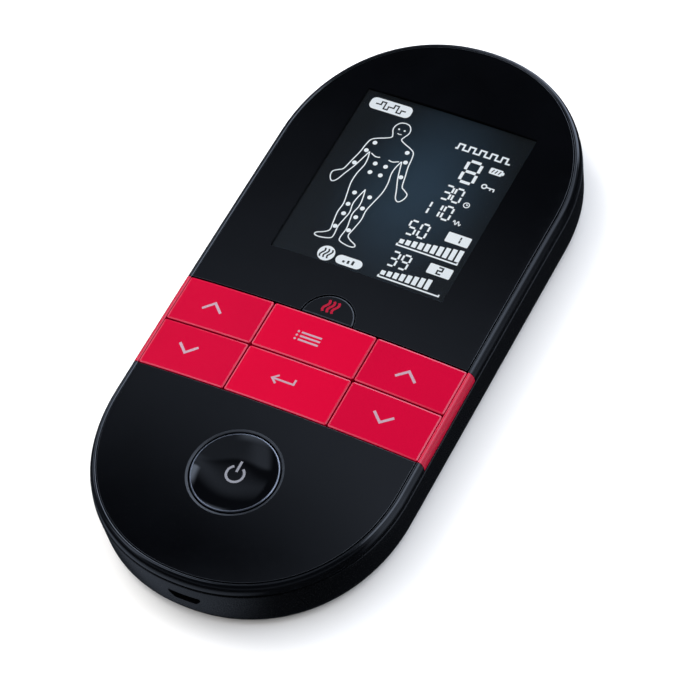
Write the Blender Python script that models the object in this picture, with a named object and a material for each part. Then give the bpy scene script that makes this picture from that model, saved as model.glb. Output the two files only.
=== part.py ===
"""Handheld two-channel nerve stimulator with heat, modelled piece by piece.

Scene units are metres and every constant below is in millimetres. +X is the width, +Y runs towards
the display end, +Z comes out of the front. The rear face lies on z = 0 and the outline is centred on
the origin. The front is a shallow dome, crown(x, y), that the panels and the keys all follow.
"""

import math

import bmesh
import bpy
from mathutils import Vector

MM = 0.001

# Driving dimensions of the case.
HALF_WIDTH = 32.7
HALF_LENGTH = 69.5
STRAIGHT_SIDE = 35.0
END_EXPONENT = 2.13
CROWN_HEIGHT = 14.86
CROWN_FALL_X = 1.35 / 30.0**2
CROWN_FALL_Y = 0.64 / 60.0**2
RIM_WIDTH = 1.47
RIM_DROP = 2.5
WALL = 1.9
FLOOR = 1.8
REAR_FILLET = 3.2
REAR_DRAFT = 0.3
GAP = 0.3

# The plate of the front casing that the panels lie on and the button stems pass through.
PLATE_TOP = 11.6
PLATE_BOTTOM = 10.4
PANEL_UNDERSIDE = PLATE_TOP + GAP
LIP_BOTTOM = 9.2
LIP_WIDTH = 1.2

# The red band of keys, in y, and the grooves between its columns.
BAND_TOP = -5.8
BAND_MIDDLE = -16.8
BAND_BOTTOM = -28.3
COLUMN = 11.55
KEY_CORNER = 0.4
KEY_CHAMFER = 0.2

# Buttons: every one has a stem through the plate and a foot that keeps it from falling out.
BUTTON_TRAVEL = 0.45
BUTTON_UNDERSIDE = PLATE_TOP + BUTTON_TRAVEL + 0.2
STEM_RADIUS = 1.4
STEM_HOLE = 1.75
FOOT_RADIUS = 2.1
FOOT_TOP = PLATE_BOTTOM - 0.1
FOOT_BOTTOM = FOOT_TOP - 0.4
POWER_CENTRE = (0.0, -44.45)
POWER_RADIUS = 8.9
POWER_DISH = 0.55
HEAT_RADIUS = 5.9
HEAT_STEM = (0.0, BAND_TOP + 2.7)

# Circuit board and the switches on it.
BOARD_BOTTOM = 6.6
BOARD_TOP = 7.8
BOARD_INSET = 2.6
SWITCH_SIDE = 4.4
SWITCH_BOTTOM = BOARD_TOP + 0.1
SWITCH_TOP = 9.3
PLUNGER_RADIUS = 1.0
PLUNGER_TOP = FOOT_BOTTOM - 0.1
PLUNGER_BOTTOM = SWITCH_BOTTOM + 0.3 + BUTTON_TRAVEL + 0.1

# Display module, seen through a window of the panel above it.
DISPLAY_HALF_WIDTH = 19.5
DISPLAY_LOW = 6.6
DISPLAY_HIGH = 50.6
MODULE_MARGIN = 1.9
MODULE_TOP = 12.9
MODULE_BOTTOM = BOARD_TOP + GAP
GLASS_THICKNESS = 1.7
FRAME_WALL = 0.8

# Screws and the bosses they run into.
SCREW_X = 25.2
SCREW_Y = (44.0, -40.0)
BOSS_RADIUS = 2.5
POST_RADIUS = 3.1
POST_TOP = 4.0
WELL_RADIUS = 2.35
WELL_DEPTH = 2.5
SCREW_RADIUS = 0.85
SCREW_HEAD = 2.0
SCREW_TIP = 9.4

# Sockets: charging port at the foot end, two electrode outlets at the display end.
USB_X = 1.1
USB_Z = 6.8
USB_WIDTH = 6.9
USB_HEIGHT = 2.5
OUTLET_X = 9.5
OUTLET_Z = 5.9
OUTLET_RADIUS = 2.6
OUTLET_BORE = 1.3

# Battery, under the board.
BATTERY_HALF_WIDTH = 17.0
BATTERY_LOW = -20.0
BATTERY_HIGH = 32.0
BATTERY_BOTTOM = 2.7
BATTERY_TOP = 6.2

FINISHES = {
    "gloss_black": ((0.012, 0.013, 0.016), 0.08, 0.0),
    "rim_black": ((0.020, 0.023, 0.029), 0.22, 0.0),
    "satin_black": ((0.018, 0.020, 0.025), 0.38, 0.0),
    "key_red": ((0.620, 0.006, 0.035), 0.36, 0.0),
    "board_green": ((0.015, 0.130, 0.050), 0.45, 0.0),
    "display_glass": ((0.060, 0.110, 0.130), 0.10, 0.0),
    "white_plastic": ((0.780, 0.780, 0.740), 0.50, 0.0),
    "tinned_steel": ((0.620, 0.620, 0.600), 0.30, 1.0),
    "gold_contact": ((0.800, 0.560, 0.200), 0.28, 1.0),
    "cell_foil": ((0.620, 0.640, 0.660), 0.35, 0.9),
    "foam_grey": ((0.110, 0.110, 0.115), 0.90, 0.0),
    "chip_black": ((0.025, 0.025, 0.025), 0.55, 0.0),
    "ferrite": ((0.085, 0.080, 0.075), 0.60, 0.1),
    "label_grey": ((0.450, 0.450, 0.450), 0.55, 0.0),
    "wire_red": ((0.550, 0.020, 0.020), 0.45, 0.0),
    "wire_black": ((0.020, 0.020, 0.020), 0.45, 0.0),
}


# ---------------------------------------------------------------- scene and meshes


def clear_scene():
    for obj in list(bpy.data.objects):
        bpy.data.objects.remove(obj, do_unlink=True)


def new_collection(name, hidden=False):
    found = bpy.data.collections.new(name)
    bpy.context.scene.collection.children.link(found)
    found.hide_render = hidden
    return found


def finish_of(name):
    """A Principled material for one piece."""
    material = bpy.data.materials.new(name)
    material.use_nodes = True
    return material


def paint(obj, finish):
    colour, roughness, metallic = FINISHES[finish]
    material = finish_of(f"{obj.name}_{finish}")
    shader = material.node_tree.nodes["Principled BSDF"]
    shader.inputs["Base Color"].default_value = (*colour, 1.0)
    shader.inputs["Roughness"].default_value = roughness
    shader.inputs["Metallic"].default_value = metallic
    material.diffuse_color = (*colour, 1.0)
    obj.data.materials.append(material)


def mesh_object(name, points, faces, origin, smooth):
    """One mesh, given in millimetres, with its origin at the given point."""
    mesh = bpy.data.meshes.new(name)
    centre = Vector(origin)
    mesh.from_pydata([(Vector(point) - centre) * MM for point in points], [], faces)
    shape = bmesh.new()
    shape.from_mesh(mesh)
    bmesh.ops.triangulate(shape, faces=shape.faces)
    bmesh.ops.recalc_face_normals(shape, faces=shape.faces)
    shape.to_mesh(mesh)
    shape.free()
    if smooth:
        mesh.shade_smooth()
        mesh.set_sharp_from_angle(angle=math.radians(35))
    obj = bpy.data.objects.new(name, mesh)
    obj.location = centre * MM
    return obj


def piece(name, points, faces, finish, origin=(0.0, 0.0, 0.0), smooth=True):
    """A sub-part, which becomes a node."""
    obj = mesh_object(name, points, faces, origin, smooth)
    paint(obj, finish)
    PARTS.objects.link(obj)
    return obj


def tool(name, points, faces):
    """A solid that only a Boolean uses."""
    obj = mesh_object(name, points, faces, (0.0, 0.0, 0.0), False)
    obj.hide_render = True
    obj.display_type = "WIRE"
    TOOLS.objects.link(obj)
    return obj


def combine(target, operation, other):
    modifier = target.modifiers.new(other.name, "BOOLEAN")
    modifier.operation = operation
    modifier.solver = "EXACT"
    modifier.object = other


# ---------------------------------------------------------------- plain shapes, as (points, faces)


def loft(rings, closed=False):
    """Faces between rings of equal length. The ends are capped unless the last ring meets the first."""
    count = len(rings[0])
    points = [point for ring in rings for point in ring]
    faces = []
    steps = len(rings) if closed else len(rings) - 1
    for step in range(steps):
        low = step * count
        high = (step + 1) % len(rings) * count
        for i in range(count):
            j = (i + 1) % count
            faces.append((low + i, low + j, high + j, high + i))
    if not closed:
        faces.append(tuple(reversed(range(count))))
        faces.append(tuple(range(len(points) - count, len(points))))
    return points, faces


def at_height(plan, z):
    return [(x, y, z) for x, y in plan]


def prism(plan, low, high):
    return loft([at_height(plan, low), at_height(plan, high)])


def rectangle(x0, x1, y0, y1):
    return [(x0, y0), (x1, y0), (x1, y1), (x0, y1)]


def box(x0, x1, y0, y1, z0, z1):
    return prism(rectangle(x0, x1, y0, y1), z0, z1)


def circle(centre, radius, steps):
    turns = [2.0 * math.pi * i / steps for i in range(steps)]
    return [(centre[0] + radius * math.cos(turn), centre[1] + radius * math.sin(turn)) for turn in turns]


def cylinder(centre, radius, low, high, steps=24):
    return prism(circle(centre, radius, steps), low, high)


def cylinder_along_y(x, z, radius, y0, y1, steps=24):
    plan = circle((x, z), radius, steps)
    return loft([[(px, y, pz) for px, pz in plan] for y in (y0, y1)])


def rounded_rectangle(x0, x1, y0, y1, radius, edge_steps=4, corner_steps=3):
    """The corners as arcs, and each straight edge split so that it can follow the dome."""
    corners = ((x1, y1, 0), (x0, y1, 1), (x0, y0, 2), (x1, y0, 3))
    plan = []
    for x, y, quarter in corners:
        cx = x - math.copysign(radius, x - (x0 + x1) / 2.0)
        cy = y - math.copysign(radius, y - (y0 + y1) / 2.0)
        for i in range(corner_steps + 1):
            turn = (quarter + i / corner_steps) * math.pi / 2.0
            plan.append((cx + radius * math.cos(turn), cy + radius * math.sin(turn)))
    return split_edges(plan, (x1 - x0) / edge_steps)


def split_edges(plan, longest):
    """The same closed plan with no edge longer than this."""
    found = []
    for (ax, ay), (bx, by) in zip(plan, plan[1:] + plan[:1]):
        pieces = max(1, math.ceil(math.hypot(bx - ax, by - ay) / longest - 1e-6))
        for i in range(pieces):
            found.append((ax + (bx - ax) * i / pieces, ay + (by - ay) * i / pieces))
    return found


def scaled(plan, centre, factor):
    cx, cy = centre
    return [(cx + (x - cx) * factor, cy + (y - cy) * factor) for x, y in plan]


def circle_facing(plan, centre, radius):
    """A circle with one point for each point of the plan, in the same direction from the centre."""
    found = []
    for x, y in plan:
        reach = math.hypot(x - centre[0], y - centre[1])
        found.append((centre[0] + (x - centre[0]) * radius / reach, centre[1] + (y - centre[1]) * radius / reach))
    return found


# ---------------------------------------------------------------- outline and dome of the case


def crown(x, y):
    return CROWN_HEIGHT - CROWN_FALL_X * x * x - CROWN_FALL_Y * y * y


def end_arc(steps):
    """A quarter of the outline of the panels, from the end of the straight side to the tip."""
    width = HALF_WIDTH - RIM_WIDTH
    reach = HALF_LENGTH - RIM_WIDTH - STRAIGHT_SIDE
    power = 2.0 / END_EXPONENT
    turns = [math.pi / 2.0 * i / steps for i in range(steps + 1)]
    arc = [(width * math.cos(t) ** power, STRAIGHT_SIDE + reach * math.sin(t) ** power) for t in turns[:-1]]
    return arc + [(0.0, STRAIGHT_SIDE + reach)]


def panel_outline(end_steps=20, side_steps=5):
    """The edge of the glossy panels, anticlockwise from the middle of the right side."""
    quarter = end_arc(end_steps)
    left = [(-x, y) for x, y in reversed(quarter[:-1])]
    upper = quarter + left
    side = [
        (-quarter[0][0], STRAIGHT_SIDE - 2.0 * STRAIGHT_SIDE * i / side_steps) for i in range(1, side_steps)
    ]
    half = upper + side
    return half + [(-x, -y) for x, y in half]


def outline(offset, end_steps=20, side_steps=5):
    """The panel outline moved outwards by the offset."""
    plan = panel_outline(end_steps, side_steps)
    found = []
    for i, (x, y) in enumerate(plan):
        ax, ay = plan[i - 1]
        bx, by = plan[(i + 1) % len(plan)]
        length = math.hypot(bx - ax, by - ay)
        found.append((x + offset * (by - ay) / length, y - offset * (bx - ax) / length))
    return found


def rim_ring(offset, drop):
    """A ring of the outline whose height follows the edge of the dome."""
    edge = outline(0.0)
    return [(x, y, crown(ex, ey) - drop) for (x, y), (ex, ey) in zip(outline(offset), edge)]


def part_of_outline(offset, low, high):
    """The plan of the outline between two values of y."""
    plan = outline(offset)
    found = []
    for (ax, ay), (bx, by) in zip(plan, plan[1:] + plan[:1]):
        if low < ay < high:
            found.append((ax, ay))
        for limit in (low, high):
            if (ay - limit) * (by - limit) < 0:
                found.append((ax + (bx - ax) * (limit - ay) / (by - ay), limit))
    return split_edges(found, 9.0)


def domed(plan, underside, centre, chamfer, levels=5, lift=0.0):
    """Rings of a solid with a flat underside and a top that follows the dome, from the top down."""
    inner = scaled(plan, centre, 1.0 - 2.0 * chamfer / min(extent(plan)))
    rings = []
    for level in range(1, levels + 1):
        shrunk = scaled(inner, centre, level / levels)
        rings.append([(x, y, crown(x, y) + lift) for x, y in shrunk])
    rings.append([(x, y, crown(x, y) + lift - chamfer) for x, y in plan])
    rings.append(at_height(plan, underside))
    return rings


def extent(plan):
    xs = [x for x, _ in plan]
    ys = [y for _, y in plan]
    return max(xs) - min(xs), max(ys) - min(ys)


# ---------------------------------------------------------------- case


def build_rear_casing():
    """A tub with a filleted bottom edge, screw posts, and openings for the sockets."""
    rings = []
    for i in range(5):
        turn = math.pi / 2.0 * i / 4
        offset = RIM_WIDTH - REAR_DRAFT - REAR_FILLET * (1.0 - math.sin(turn))
        rings.append(at_height(outline(offset), REAR_FILLET * (1.0 - math.cos(turn))))
    inner = RIM_WIDTH - WALL
    rings.append(rim_ring(RIM_WIDTH, RIM_DROP + GAP))
    rings.append(rim_ring(inner, RIM_DROP + GAP))
    rings.append(at_height(outline(inner - 0.1), FLOOR + 1.2))
    rings.append(at_height(outline(inner - 1.3), FLOOR))
    casing = piece("rear_casing", *loft(rings), "satin_black")
    for number, centre in enumerate(screw_centres(), 1):
        combine(casing, "UNION", tool(f"post_{number}", *cylinder(centre, POST_RADIUS, FLOOR - 0.9, POST_TOP)))
        combine(casing, "DIFFERENCE", tool(f"well_{number}", *cylinder(centre, WELL_RADIUS, -1.0, WELL_DEPTH)))
        combine(casing, "DIFFERENCE", tool(f"passage_{number}", *cylinder(centre, 1.3, WELL_DEPTH - 1.0, 6.0)))
    combine(casing, "DIFFERENCE", tool("usb_slot", *usb_slot_shape()))
    for side in (-1, 1):
        hole = cylinder_along_y(side * OUTLET_X, OUTLET_Z, OUTLET_RADIUS + GAP, 60.0, 75.0)
        combine(casing, "DIFFERENCE", tool(f"outlet_hole_{side + 2}", *hole))
    combine(casing, "DIFFERENCE", tool("label_recess", *prism(label_plan(GAP), -1.0, 0.5)))


def usb_slot_shape():
    """A flat port mouth, wider along the top than along the bottom."""
    half = USB_WIDTH / 2.0
    high = USB_Z + USB_HEIGHT / 2.0
    low = USB_Z - USB_HEIGHT / 2.0
    mouth = [(-half, high), (-half, high - 1.0), (-half + 1.1, low), (half - 1.1, low), (half, high - 1.0), (half, high)]
    return loft([[(USB_X + x, y, z) for x, z in mouth] for y in (-75.0, -60.0)])


def screw_centres():
    return [(x, y) for y in SCREW_Y for x in (-SCREW_X, SCREW_X)]


def label_plan(margin):
    return rounded_rectangle(-17.0 - margin, 17.0 + margin, -16.0 - margin, 10.0 + margin, 1.5, 1, 3)


def build_front_casing():
    """A rim around a plate: the rim rounds over to the case side, the plate carries the panels."""
    rings = [at_height(outline(0.0), PLATE_TOP), rim_ring(0.0, 0.12), rim_ring(0.12, 0.0)]
    for i in range(1, 6):
        turn = math.pi / 2.0 * i / 5
        rings.append(rim_ring(0.12 + (RIM_WIDTH - 0.12) * math.sin(turn), RIM_DROP * (1.0 - math.cos(turn))))
    inner = RIM_WIDTH - WALL - GAP
    rings.append(rim_ring(inner, RIM_DROP))
    rings.append(at_height(outline(inner), LIP_BOTTOM))
    rings.append(at_height(outline(inner - LIP_WIDTH), LIP_BOTTOM))
    rings.append(at_height(outline(inner - LIP_WIDTH), PLATE_BOTTOM))
    casing = piece("front_casing", *loft(rings), "rim_black")
    for number, centre in enumerate(screw_centres(), 1):
        boss = cylinder(centre, BOSS_RADIUS, POST_TOP + GAP, PLATE_BOTTOM + 0.6)
        combine(casing, "UNION", tool(f"boss_{number}", *boss))
        combine(casing, "DIFFERENCE", tool(f"pilot_{number}", *cylinder(centre, 1.05, 0.0, SCREW_TIP + 0.4, 16)))
    window = module_plan(GAP)
    combine(casing, "DIFFERENCE", tool("display_window", *prism(window, 5.0, 20.0)))
    for name, centre in button_stems().items():
        combine(casing, "DIFFERENCE", tool(f"{name}_hole", *cylinder(centre, STEM_HOLE, 5.0, 20.0, 20)))
    for side in (-1, 1):
        combine(casing, "DIFFERENCE", tool(f"trim_notch_{side + 2}", *trim_notch(side)))
        for tab, centre in enumerate(trim_tabs(), 1):
            slot = box(*ordered(side * 28.6, side * 36.0), centre - 2.3, centre + 2.3, 5.0, 20.0)
            combine(casing, "DIFFERENCE", tool(f"tab_slot_{side + 2}_{tab}", *slot))


def ordered(a, b):
    return min(a, b), max(a, b)


def trim_notch(side):
    edge = side * (HALF_WIDTH - RIM_WIDTH - 0.02)
    return box(*ordered(edge, side * 40.0), BAND_BOTTOM, BAND_TOP, 9.3, 20.0)


def trim_tabs():
    middle = (BAND_TOP + BAND_BOTTOM) / 2.0
    return middle - 7.0, middle + 7.0


def build_rim_trims():
    """The red lengths of the rim beside the keys, each with two tabs that lock into the plate."""
    low = BAND_BOTTOM + GAP / 2.0
    high = BAND_TOP - GAP / 2.0
    for side, name in ((-1, "left_rim_trim"), (1, "right_rim_trim")):
        edge = HALF_WIDTH - RIM_WIDTH
        rings = []
        for step in range(4):
            y = low + (high - low) * step / 3
            top = crown(edge, y)
            section = [(0.12, RIM_DROP), (0.12, 0.1), (0.2, 0.0)]
            for i in range(1, 6):
                turn = math.pi / 2.0 * i / 5
                section.append((0.2 + (RIM_WIDTH - 0.2) * math.sin(turn), RIM_DROP * (1.0 - math.cos(turn))))
            rings.append([(side * (edge + x), y, top - z) for x, z in section])
        trim = piece(name, *loft(rings), "key_red")
        for tab, centre in enumerate(trim_tabs(), 1):
            shape = box(*ordered(side * 28.9, side * 31.9), centre - 2.0, centre + 2.0, PLATE_TOP - 0.5, PLATE_TOP)
            combine(trim, "UNION", tool(f"{name}_tab_{tab}", *shape))


# ---------------------------------------------------------------- panels


def build_display_lens():
    """The upper panel, with a pocket underneath for the display and a notch for the heat key."""
    plan = part_of_outline(-0.2, BAND_TOP + GAP / 2.0, 90.0)
    lens = piece("display_lens", *loft(domed(plan, PANEL_UNDERSIDE, (0.0, 26.0), 0.15, 7)), "gloss_black")
    combine(lens, "DIFFERENCE", tool("display_pocket", *prism(module_plan(GAP), 5.0, MODULE_TOP + GAP)))
    notch = cylinder((0.0, BAND_TOP), HEAT_RADIUS, 5.0, 20.0, 48)
    combine(lens, "DIFFERENCE", tool("heat_key_notch", *notch))


def build_lower_panel():
    plan = part_of_outline(-0.2, -90.0, BAND_BOTTOM - GAP / 2.0)
    panel = piece("lower_panel", *loft(domed(plan, PANEL_UNDERSIDE, (0.0, -45.0), 0.15, 6)), "gloss_black")
    opening = cylinder(POWER_CENTRE, POWER_RADIUS + GAP, 5.0, 20.0, 64)
    combine(panel, "DIFFERENCE", tool("power_opening", *opening))


def module_plan(margin):
    reach = MODULE_MARGIN + margin
    return rectangle(
        -DISPLAY_HALF_WIDTH - reach, DISPLAY_HALF_WIDTH + reach, DISPLAY_LOW - reach, DISPLAY_HIGH + reach
    )


# ---------------------------------------------------------------- buttons


def key_areas():
    """Plan limits of the six red keys: x0, x1, y0, y1."""
    half = GAP / 2.0
    edge = HALF_WIDTH - RIM_WIDTH - half / 2.0
    columns = {
        "channel_1": (-edge, -COLUMN - half),
        "middle": (-COLUMN + half, COLUMN - half),
        "channel_2": (COLUMN + half, edge),
    }
    rows = {"upper": (BAND_MIDDLE + half, BAND_TOP - half), "lower": (BAND_BOTTOM + half, BAND_MIDDLE - half)}
    return {
        "channel_1_up_key": columns["channel_1"] + rows["upper"],
        "channel_1_down_key": columns["channel_1"] + rows["lower"],
        "menu_key": columns["middle"] + rows["upper"],
        "enter_key": columns["middle"] + rows["lower"],
        "channel_2_up_key": columns["channel_2"] + rows["upper"],
        "channel_2_down_key": columns["channel_2"] + rows["lower"],
    }


def button_stems():
    """Where each button's stem stands: the axis it slides on."""
    stems = {name: ((x0 + x1) / 2.0, (y0 + y1) / 2.0) for name, (x0, x1, y0, y1) in key_areas().items()}
    stems["heat_key"] = HEAT_STEM
    stems["power_button"] = POWER_CENTRE
    return stems


def stem_rings(plan, centre):
    """The rings below a button's underside: stem, then the foot under the plate."""
    stem = circle_facing(plan, centre, STEM_RADIUS)
    foot = circle_facing(plan, centre, FOOT_RADIUS)
    return [
        at_height(stem, BUTTON_UNDERSIDE),
        at_height(stem, FOOT_TOP),
        at_height(foot, FOOT_TOP),
        at_height(foot, FOOT_BOTTOM),
    ]


def build_red_keys():
    for name, (x0, x1, y0, y1) in key_areas().items():
        centre = button_stems()[name]
        plan = rounded_rectangle(x0, x1, y0, y1, KEY_CORNER, 5, 2)
        rings = domed(plan, BUTTON_UNDERSIDE, centre, KEY_CHAMFER, 4) + stem_rings(plan, centre)
        piece(name, *loft(rings), "key_red", origin=(*centre, BUTTON_UNDERSIDE))


def heat_plan(radius):
    """The half disc that rises above the red band."""
    low = BAND_TOP + GAP / 2.0
    start = math.asin((low - BAND_TOP) / radius)
    turns = [start + (math.pi - 2.0 * start) * i / 24 for i in range(25)]
    arc = [(radius * math.cos(turn), BAND_TOP + radius * math.sin(turn)) for turn in turns]
    return split_edges(arc, 2.5)


def build_heat_key():
    plan = heat_plan(HEAT_RADIUS - GAP)
    rings = domed(plan, BUTTON_UNDERSIDE, HEAT_STEM, 0.12, 3) + stem_rings(plan, HEAT_STEM)
    piece("heat_key", *loft(rings), "gloss_black", origin=(*HEAT_STEM, BUTTON_UNDERSIDE))


def build_power_button():
    """A round button with a shallow dish for the finger."""
    edge = crown(*POWER_CENTRE)
    profile = [(0.06, POWER_DISH), (0.3, POWER_DISH * 0.9), (0.55, POWER_DISH * 0.66), (0.78, POWER_DISH * 0.3)]
    profile += [(0.93, 0.06), (0.97, 0.0), (1.0, 0.25)]
    rings = [at_height(circle(POWER_CENTRE, POWER_RADIUS * r, 64), edge - drop) for r, drop in profile]
    plan = circle(POWER_CENTRE, POWER_RADIUS, 64)
    rings += [at_height(plan, BUTTON_UNDERSIDE)] + stem_rings(plan, POWER_CENTRE)
    piece("power_button", *loft(rings), "gloss_black", origin=(*POWER_CENTRE, BUTTON_UNDERSIDE))


def build_switches():
    """A tact switch under every stem: a housing with a bore, and the plunger in it."""
    half = SWITCH_SIDE / 2.0
    for name, (x, y) in button_stems().items():
        label = name.replace("_key", "").replace("_button", "")
        square = split_edges(rectangle(x - half, x + half, y - half, y + half), half)
        bore = circle_facing(square, (x, y), PLUNGER_RADIUS + 0.25)
        rings = [at_height(square, SWITCH_BOTTOM), at_height(square, SWITCH_TOP)]
        rings += [at_height(bore, SWITCH_TOP), at_height(bore, SWITCH_BOTTOM + 0.3)]
        piece(f"{label}_switch", *loft(rings), "tinned_steel", origin=(x, y, SWITCH_BOTTOM), smooth=False)
        rod = cylinder((x, y), PLUNGER_RADIUS, PLUNGER_BOTTOM, PLUNGER_TOP, 16)
        piece(f"{label}_plunger", *rod, "chip_black", origin=(x, y, PLUNGER_BOTTOM))


# ---------------------------------------------------------------- display


def build_display_module():
    """Frame, light guide, glass and the contact strip that joins the glass to the board."""
    outer = module_plan(0.0)
    inner = module_plan(-FRAME_WALL)
    rings = [at_height(outer, MODULE_BOTTOM), at_height(outer, MODULE_TOP)]
    rings += [at_height(inner, MODULE_TOP), at_height(inner, MODULE_BOTTOM)]
    piece("display_frame", *loft(rings, closed=True), "chip_black", smooth=False)
    inside = module_plan(-FRAME_WALL - GAP)
    glass_bottom = MODULE_TOP - GLASS_THICKNESS
    piece("display_glass", *prism(inside, glass_bottom, MODULE_TOP - 0.1), "display_glass", smooth=False)
    guide = rectangle(inside[0][0], inside[1][0], inside[0][1] + 3.0, inside[2][1])
    piece("backlight_guide", *prism(guide, MODULE_BOTTOM + 0.2, glass_bottom - GAP), "white_plastic", smooth=False)
    strip = rectangle(inside[0][0] + 2.0, inside[1][0] - 2.0, inside[0][1] + 0.3, inside[0][1] + 2.5)
    piece("display_contact_strip", *prism(strip, MODULE_BOTTOM, glass_bottom - GAP), "foam_grey", smooth=False)


# ---------------------------------------------------------------- electronics


def build_board():
    board = piece("main_board", *prism(outline(-BOARD_INSET, 12, 1), BOARD_BOTTOM, BOARD_TOP), "board_green", smooth=False)
    for number, centre in enumerate(screw_centres(), 1):
        combine(board, "DIFFERENCE", tool(f"board_notch_{number}", *cylinder(centre, BOSS_RADIUS + 0.5, 5.0, 9.0)))
    port = box(USB_X - 4.3, USB_X + 4.3, -70.0, -60.4, 5.0, 9.0)
    combine(board, "DIFFERENCE", tool("board_port_notch", *port))
    for side in (-1, 1):
        outlet = box(side * OUTLET_X - 3.9, side * OUTLET_X + 3.9, 54.9, 75.0, 5.0, 9.0)
        combine(board, "DIFFERENCE", tool(f"board_outlet_notch_{side + 2}", *outlet))


def build_battery():
    """A flat lithium cell on a foam pad, its two leads and the connector under the board."""
    plan = rounded_rectangle(-BATTERY_HALF_WIDTH, BATTERY_HALF_WIDTH, BATTERY_LOW, BATTERY_HIGH, 1.5, 1, 3)
    inset = rounded_rectangle(
        -BATTERY_HALF_WIDTH + 0.6, BATTERY_HALF_WIDTH - 0.6, BATTERY_LOW + 0.6, BATTERY_HIGH - 0.6, 1.0, 1, 3
    )
    rings = [at_height(inset, BATTERY_BOTTOM), at_height(plan, BATTERY_BOTTOM + 0.6)]
    rings += [at_height(plan, BATTERY_TOP - 0.6), at_height(inset, BATTERY_TOP)]
    piece("battery_cell", *loft(rings), "cell_foil")
    piece("battery_pad", *box(-15.0, 15.0, -18.0, 30.0, FLOOR + 0.1, BATTERY_BOTTOM - 0.2), "foam_grey", smooth=False)
    piece("battery_connector", *box(-3.0, 3.0, -33.0, -28.5, 3.4, BOARD_BOTTOM - 0.1), "white_plastic", smooth=False)
    for x, name, finish in ((-1.2, "battery_lead_negative", "wire_black"), (1.2, "battery_lead_positive", "wire_red")):
        rod = cylinder_along_y(x, 4.6, 0.55, -28.3, BATTERY_LOW - 0.2, 12)
        piece(name, *rod, finish)


def build_charging_port():
    """A port shell sunk into the board's edge, with the contact tongue inside."""
    half = USB_WIDTH / 2.0 + 0.35
    low = USB_Z - USB_HEIGHT / 2.0 - 0.35
    high = USB_Z + USB_HEIGHT / 2.0 + 0.35
    wall = 0.35
    outer = [(-half, low), (half, low), (half, high), (-half, high)]
    inner = [(-half + wall, low + wall), (half - wall, low + wall), (half - wall, high - wall), (-half + wall, high - wall)]
    front, back = -67.2, -61.4
    sections = ((outer, back), (outer, front), (inner, front), (inner, back - 0.6))
    rings = [[(USB_X + x, y, z) for x, z in section] for section, y in sections]
    piece("charging_port_shell", *loft(rings), "tinned_steel", smooth=False)
    tongue = box(USB_X - 1.9, USB_X + 1.9, front + 0.9, back - 0.8, USB_Z + 0.1, USB_Z + 0.7)
    piece("charging_port_tongue", *tongue, "chip_black", smooth=False)


def build_outlets():
    """Electrode outlets: a block on the board's edge, a collar through the wall, a contact sleeve inside."""
    for number, side in ((1, -1), (2, 1)):
        x = side * OUTLET_X
        wide, tall = 3.6, 3.1
        steps = 16
        mouth = circle((x, OUTLET_Z), OUTLET_RADIUS, steps)
        bore = circle((x, OUTLET_Z), OUTLET_BORE, steps)
        block = [(x + wide * u, OUTLET_Z - 0.4 + tall * w) for u, w in square_facing(steps)]
        sections = ((block, 55.2), (block, 63.6), (mouth, 63.6), (mouth, 67.6), (bore, 67.6), (bore, 57.0))
        rings = [[(px, y, pz) for px, pz in section] for section, y in sections]
        piece(f"output_socket_{number}", *loft(rings), "chip_black")
        sleeve = [(circle((x, OUTLET_Z), radius, 16), y) for radius, y in ((1.1, 58.0), (1.1, 66.8), (0.7, 66.8), (0.7, 58.0))]
        rings = [[(px, y, pz) for px, pz in section] for section, y in sleeve]
        piece(f"output_contact_{number}", *loft(rings, closed=True), "gold_contact")


def square_facing(steps):
    """Points of a square with half side 1, in the directions of a circle's points."""
    found = []
    for i in range(steps):
        turn = 2.0 * math.pi * i / steps
        reach = max(abs(math.cos(turn)), abs(math.sin(turn)))
        found.append((math.cos(turn) / reach, math.sin(turn) / reach))
    return found


def build_components():
    """The larger parts on the board: two output transformers, chips, a capacitor and a sounder."""
    for number, x in ((1, -11.0), (2, 11.0)):
        below = box(x - 5.0, x + 5.0, 37.0, 46.5, 2.6, BOARD_BOTTOM - 0.1)
        piece(f"output_transformer_{number}", *below, "ferrite", smooth=False)
    above = BOARD_TOP + 0.1
    piece("controller_chip", *box(-19.0, -12.0, -40.5, -33.5, above, above + 1.2), "chip_black", smooth=False)
    piece("charger_chip", *box(9.0, 13.0, -60.0, -56.0, above, above + 0.9), "chip_black", smooth=False)
    piece("sounder", *cylinder((15.5, -47.0), 4.2, above, above + 2.0, 32), "chip_black")
    piece("storage_capacitor", *cylinder_along_y(-12.0, 4.3, 2.0, -54.0, -42.0, 20), "cell_foil")


def build_screws():
    for number, centre in enumerate(screw_centres(), 1):
        profile = ((SCREW_HEAD, 0.9), (SCREW_HEAD, 1.9), (SCREW_RADIUS, 2.2), (SCREW_RADIUS, SCREW_TIP - 0.8), (0.2, SCREW_TIP))
        rings = [at_height(circle(centre, radius, 16), z) for radius, z in profile]
        screw = piece(f"case_screw_{number}", *loft(rings), "tinned_steel", origin=(*centre, 0.9))
        combine(screw, "DIFFERENCE", tool(f"screw_cross_{number}", *prism(cross_plan(centre), 0.0, 1.5)))


def cross_plan(centre):
    arm, half = 1.1, 0.25
    corner = [(arm, -half), (arm, half), (half, half)]
    plan = []
    for quarter in range(4):
        turn = quarter * math.pi / 2.0
        for x, y in corner:
            plan.append(
                (centre[0] + x * math.cos(turn) - y * math.sin(turn), centre[1] + x * math.sin(turn) + y * math.cos(turn))
            )
    return plan


def build_label():
    piece("rating_label", *prism(label_plan(0.0), 0.1, 0.35), "label_grey", smooth=False)


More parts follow.
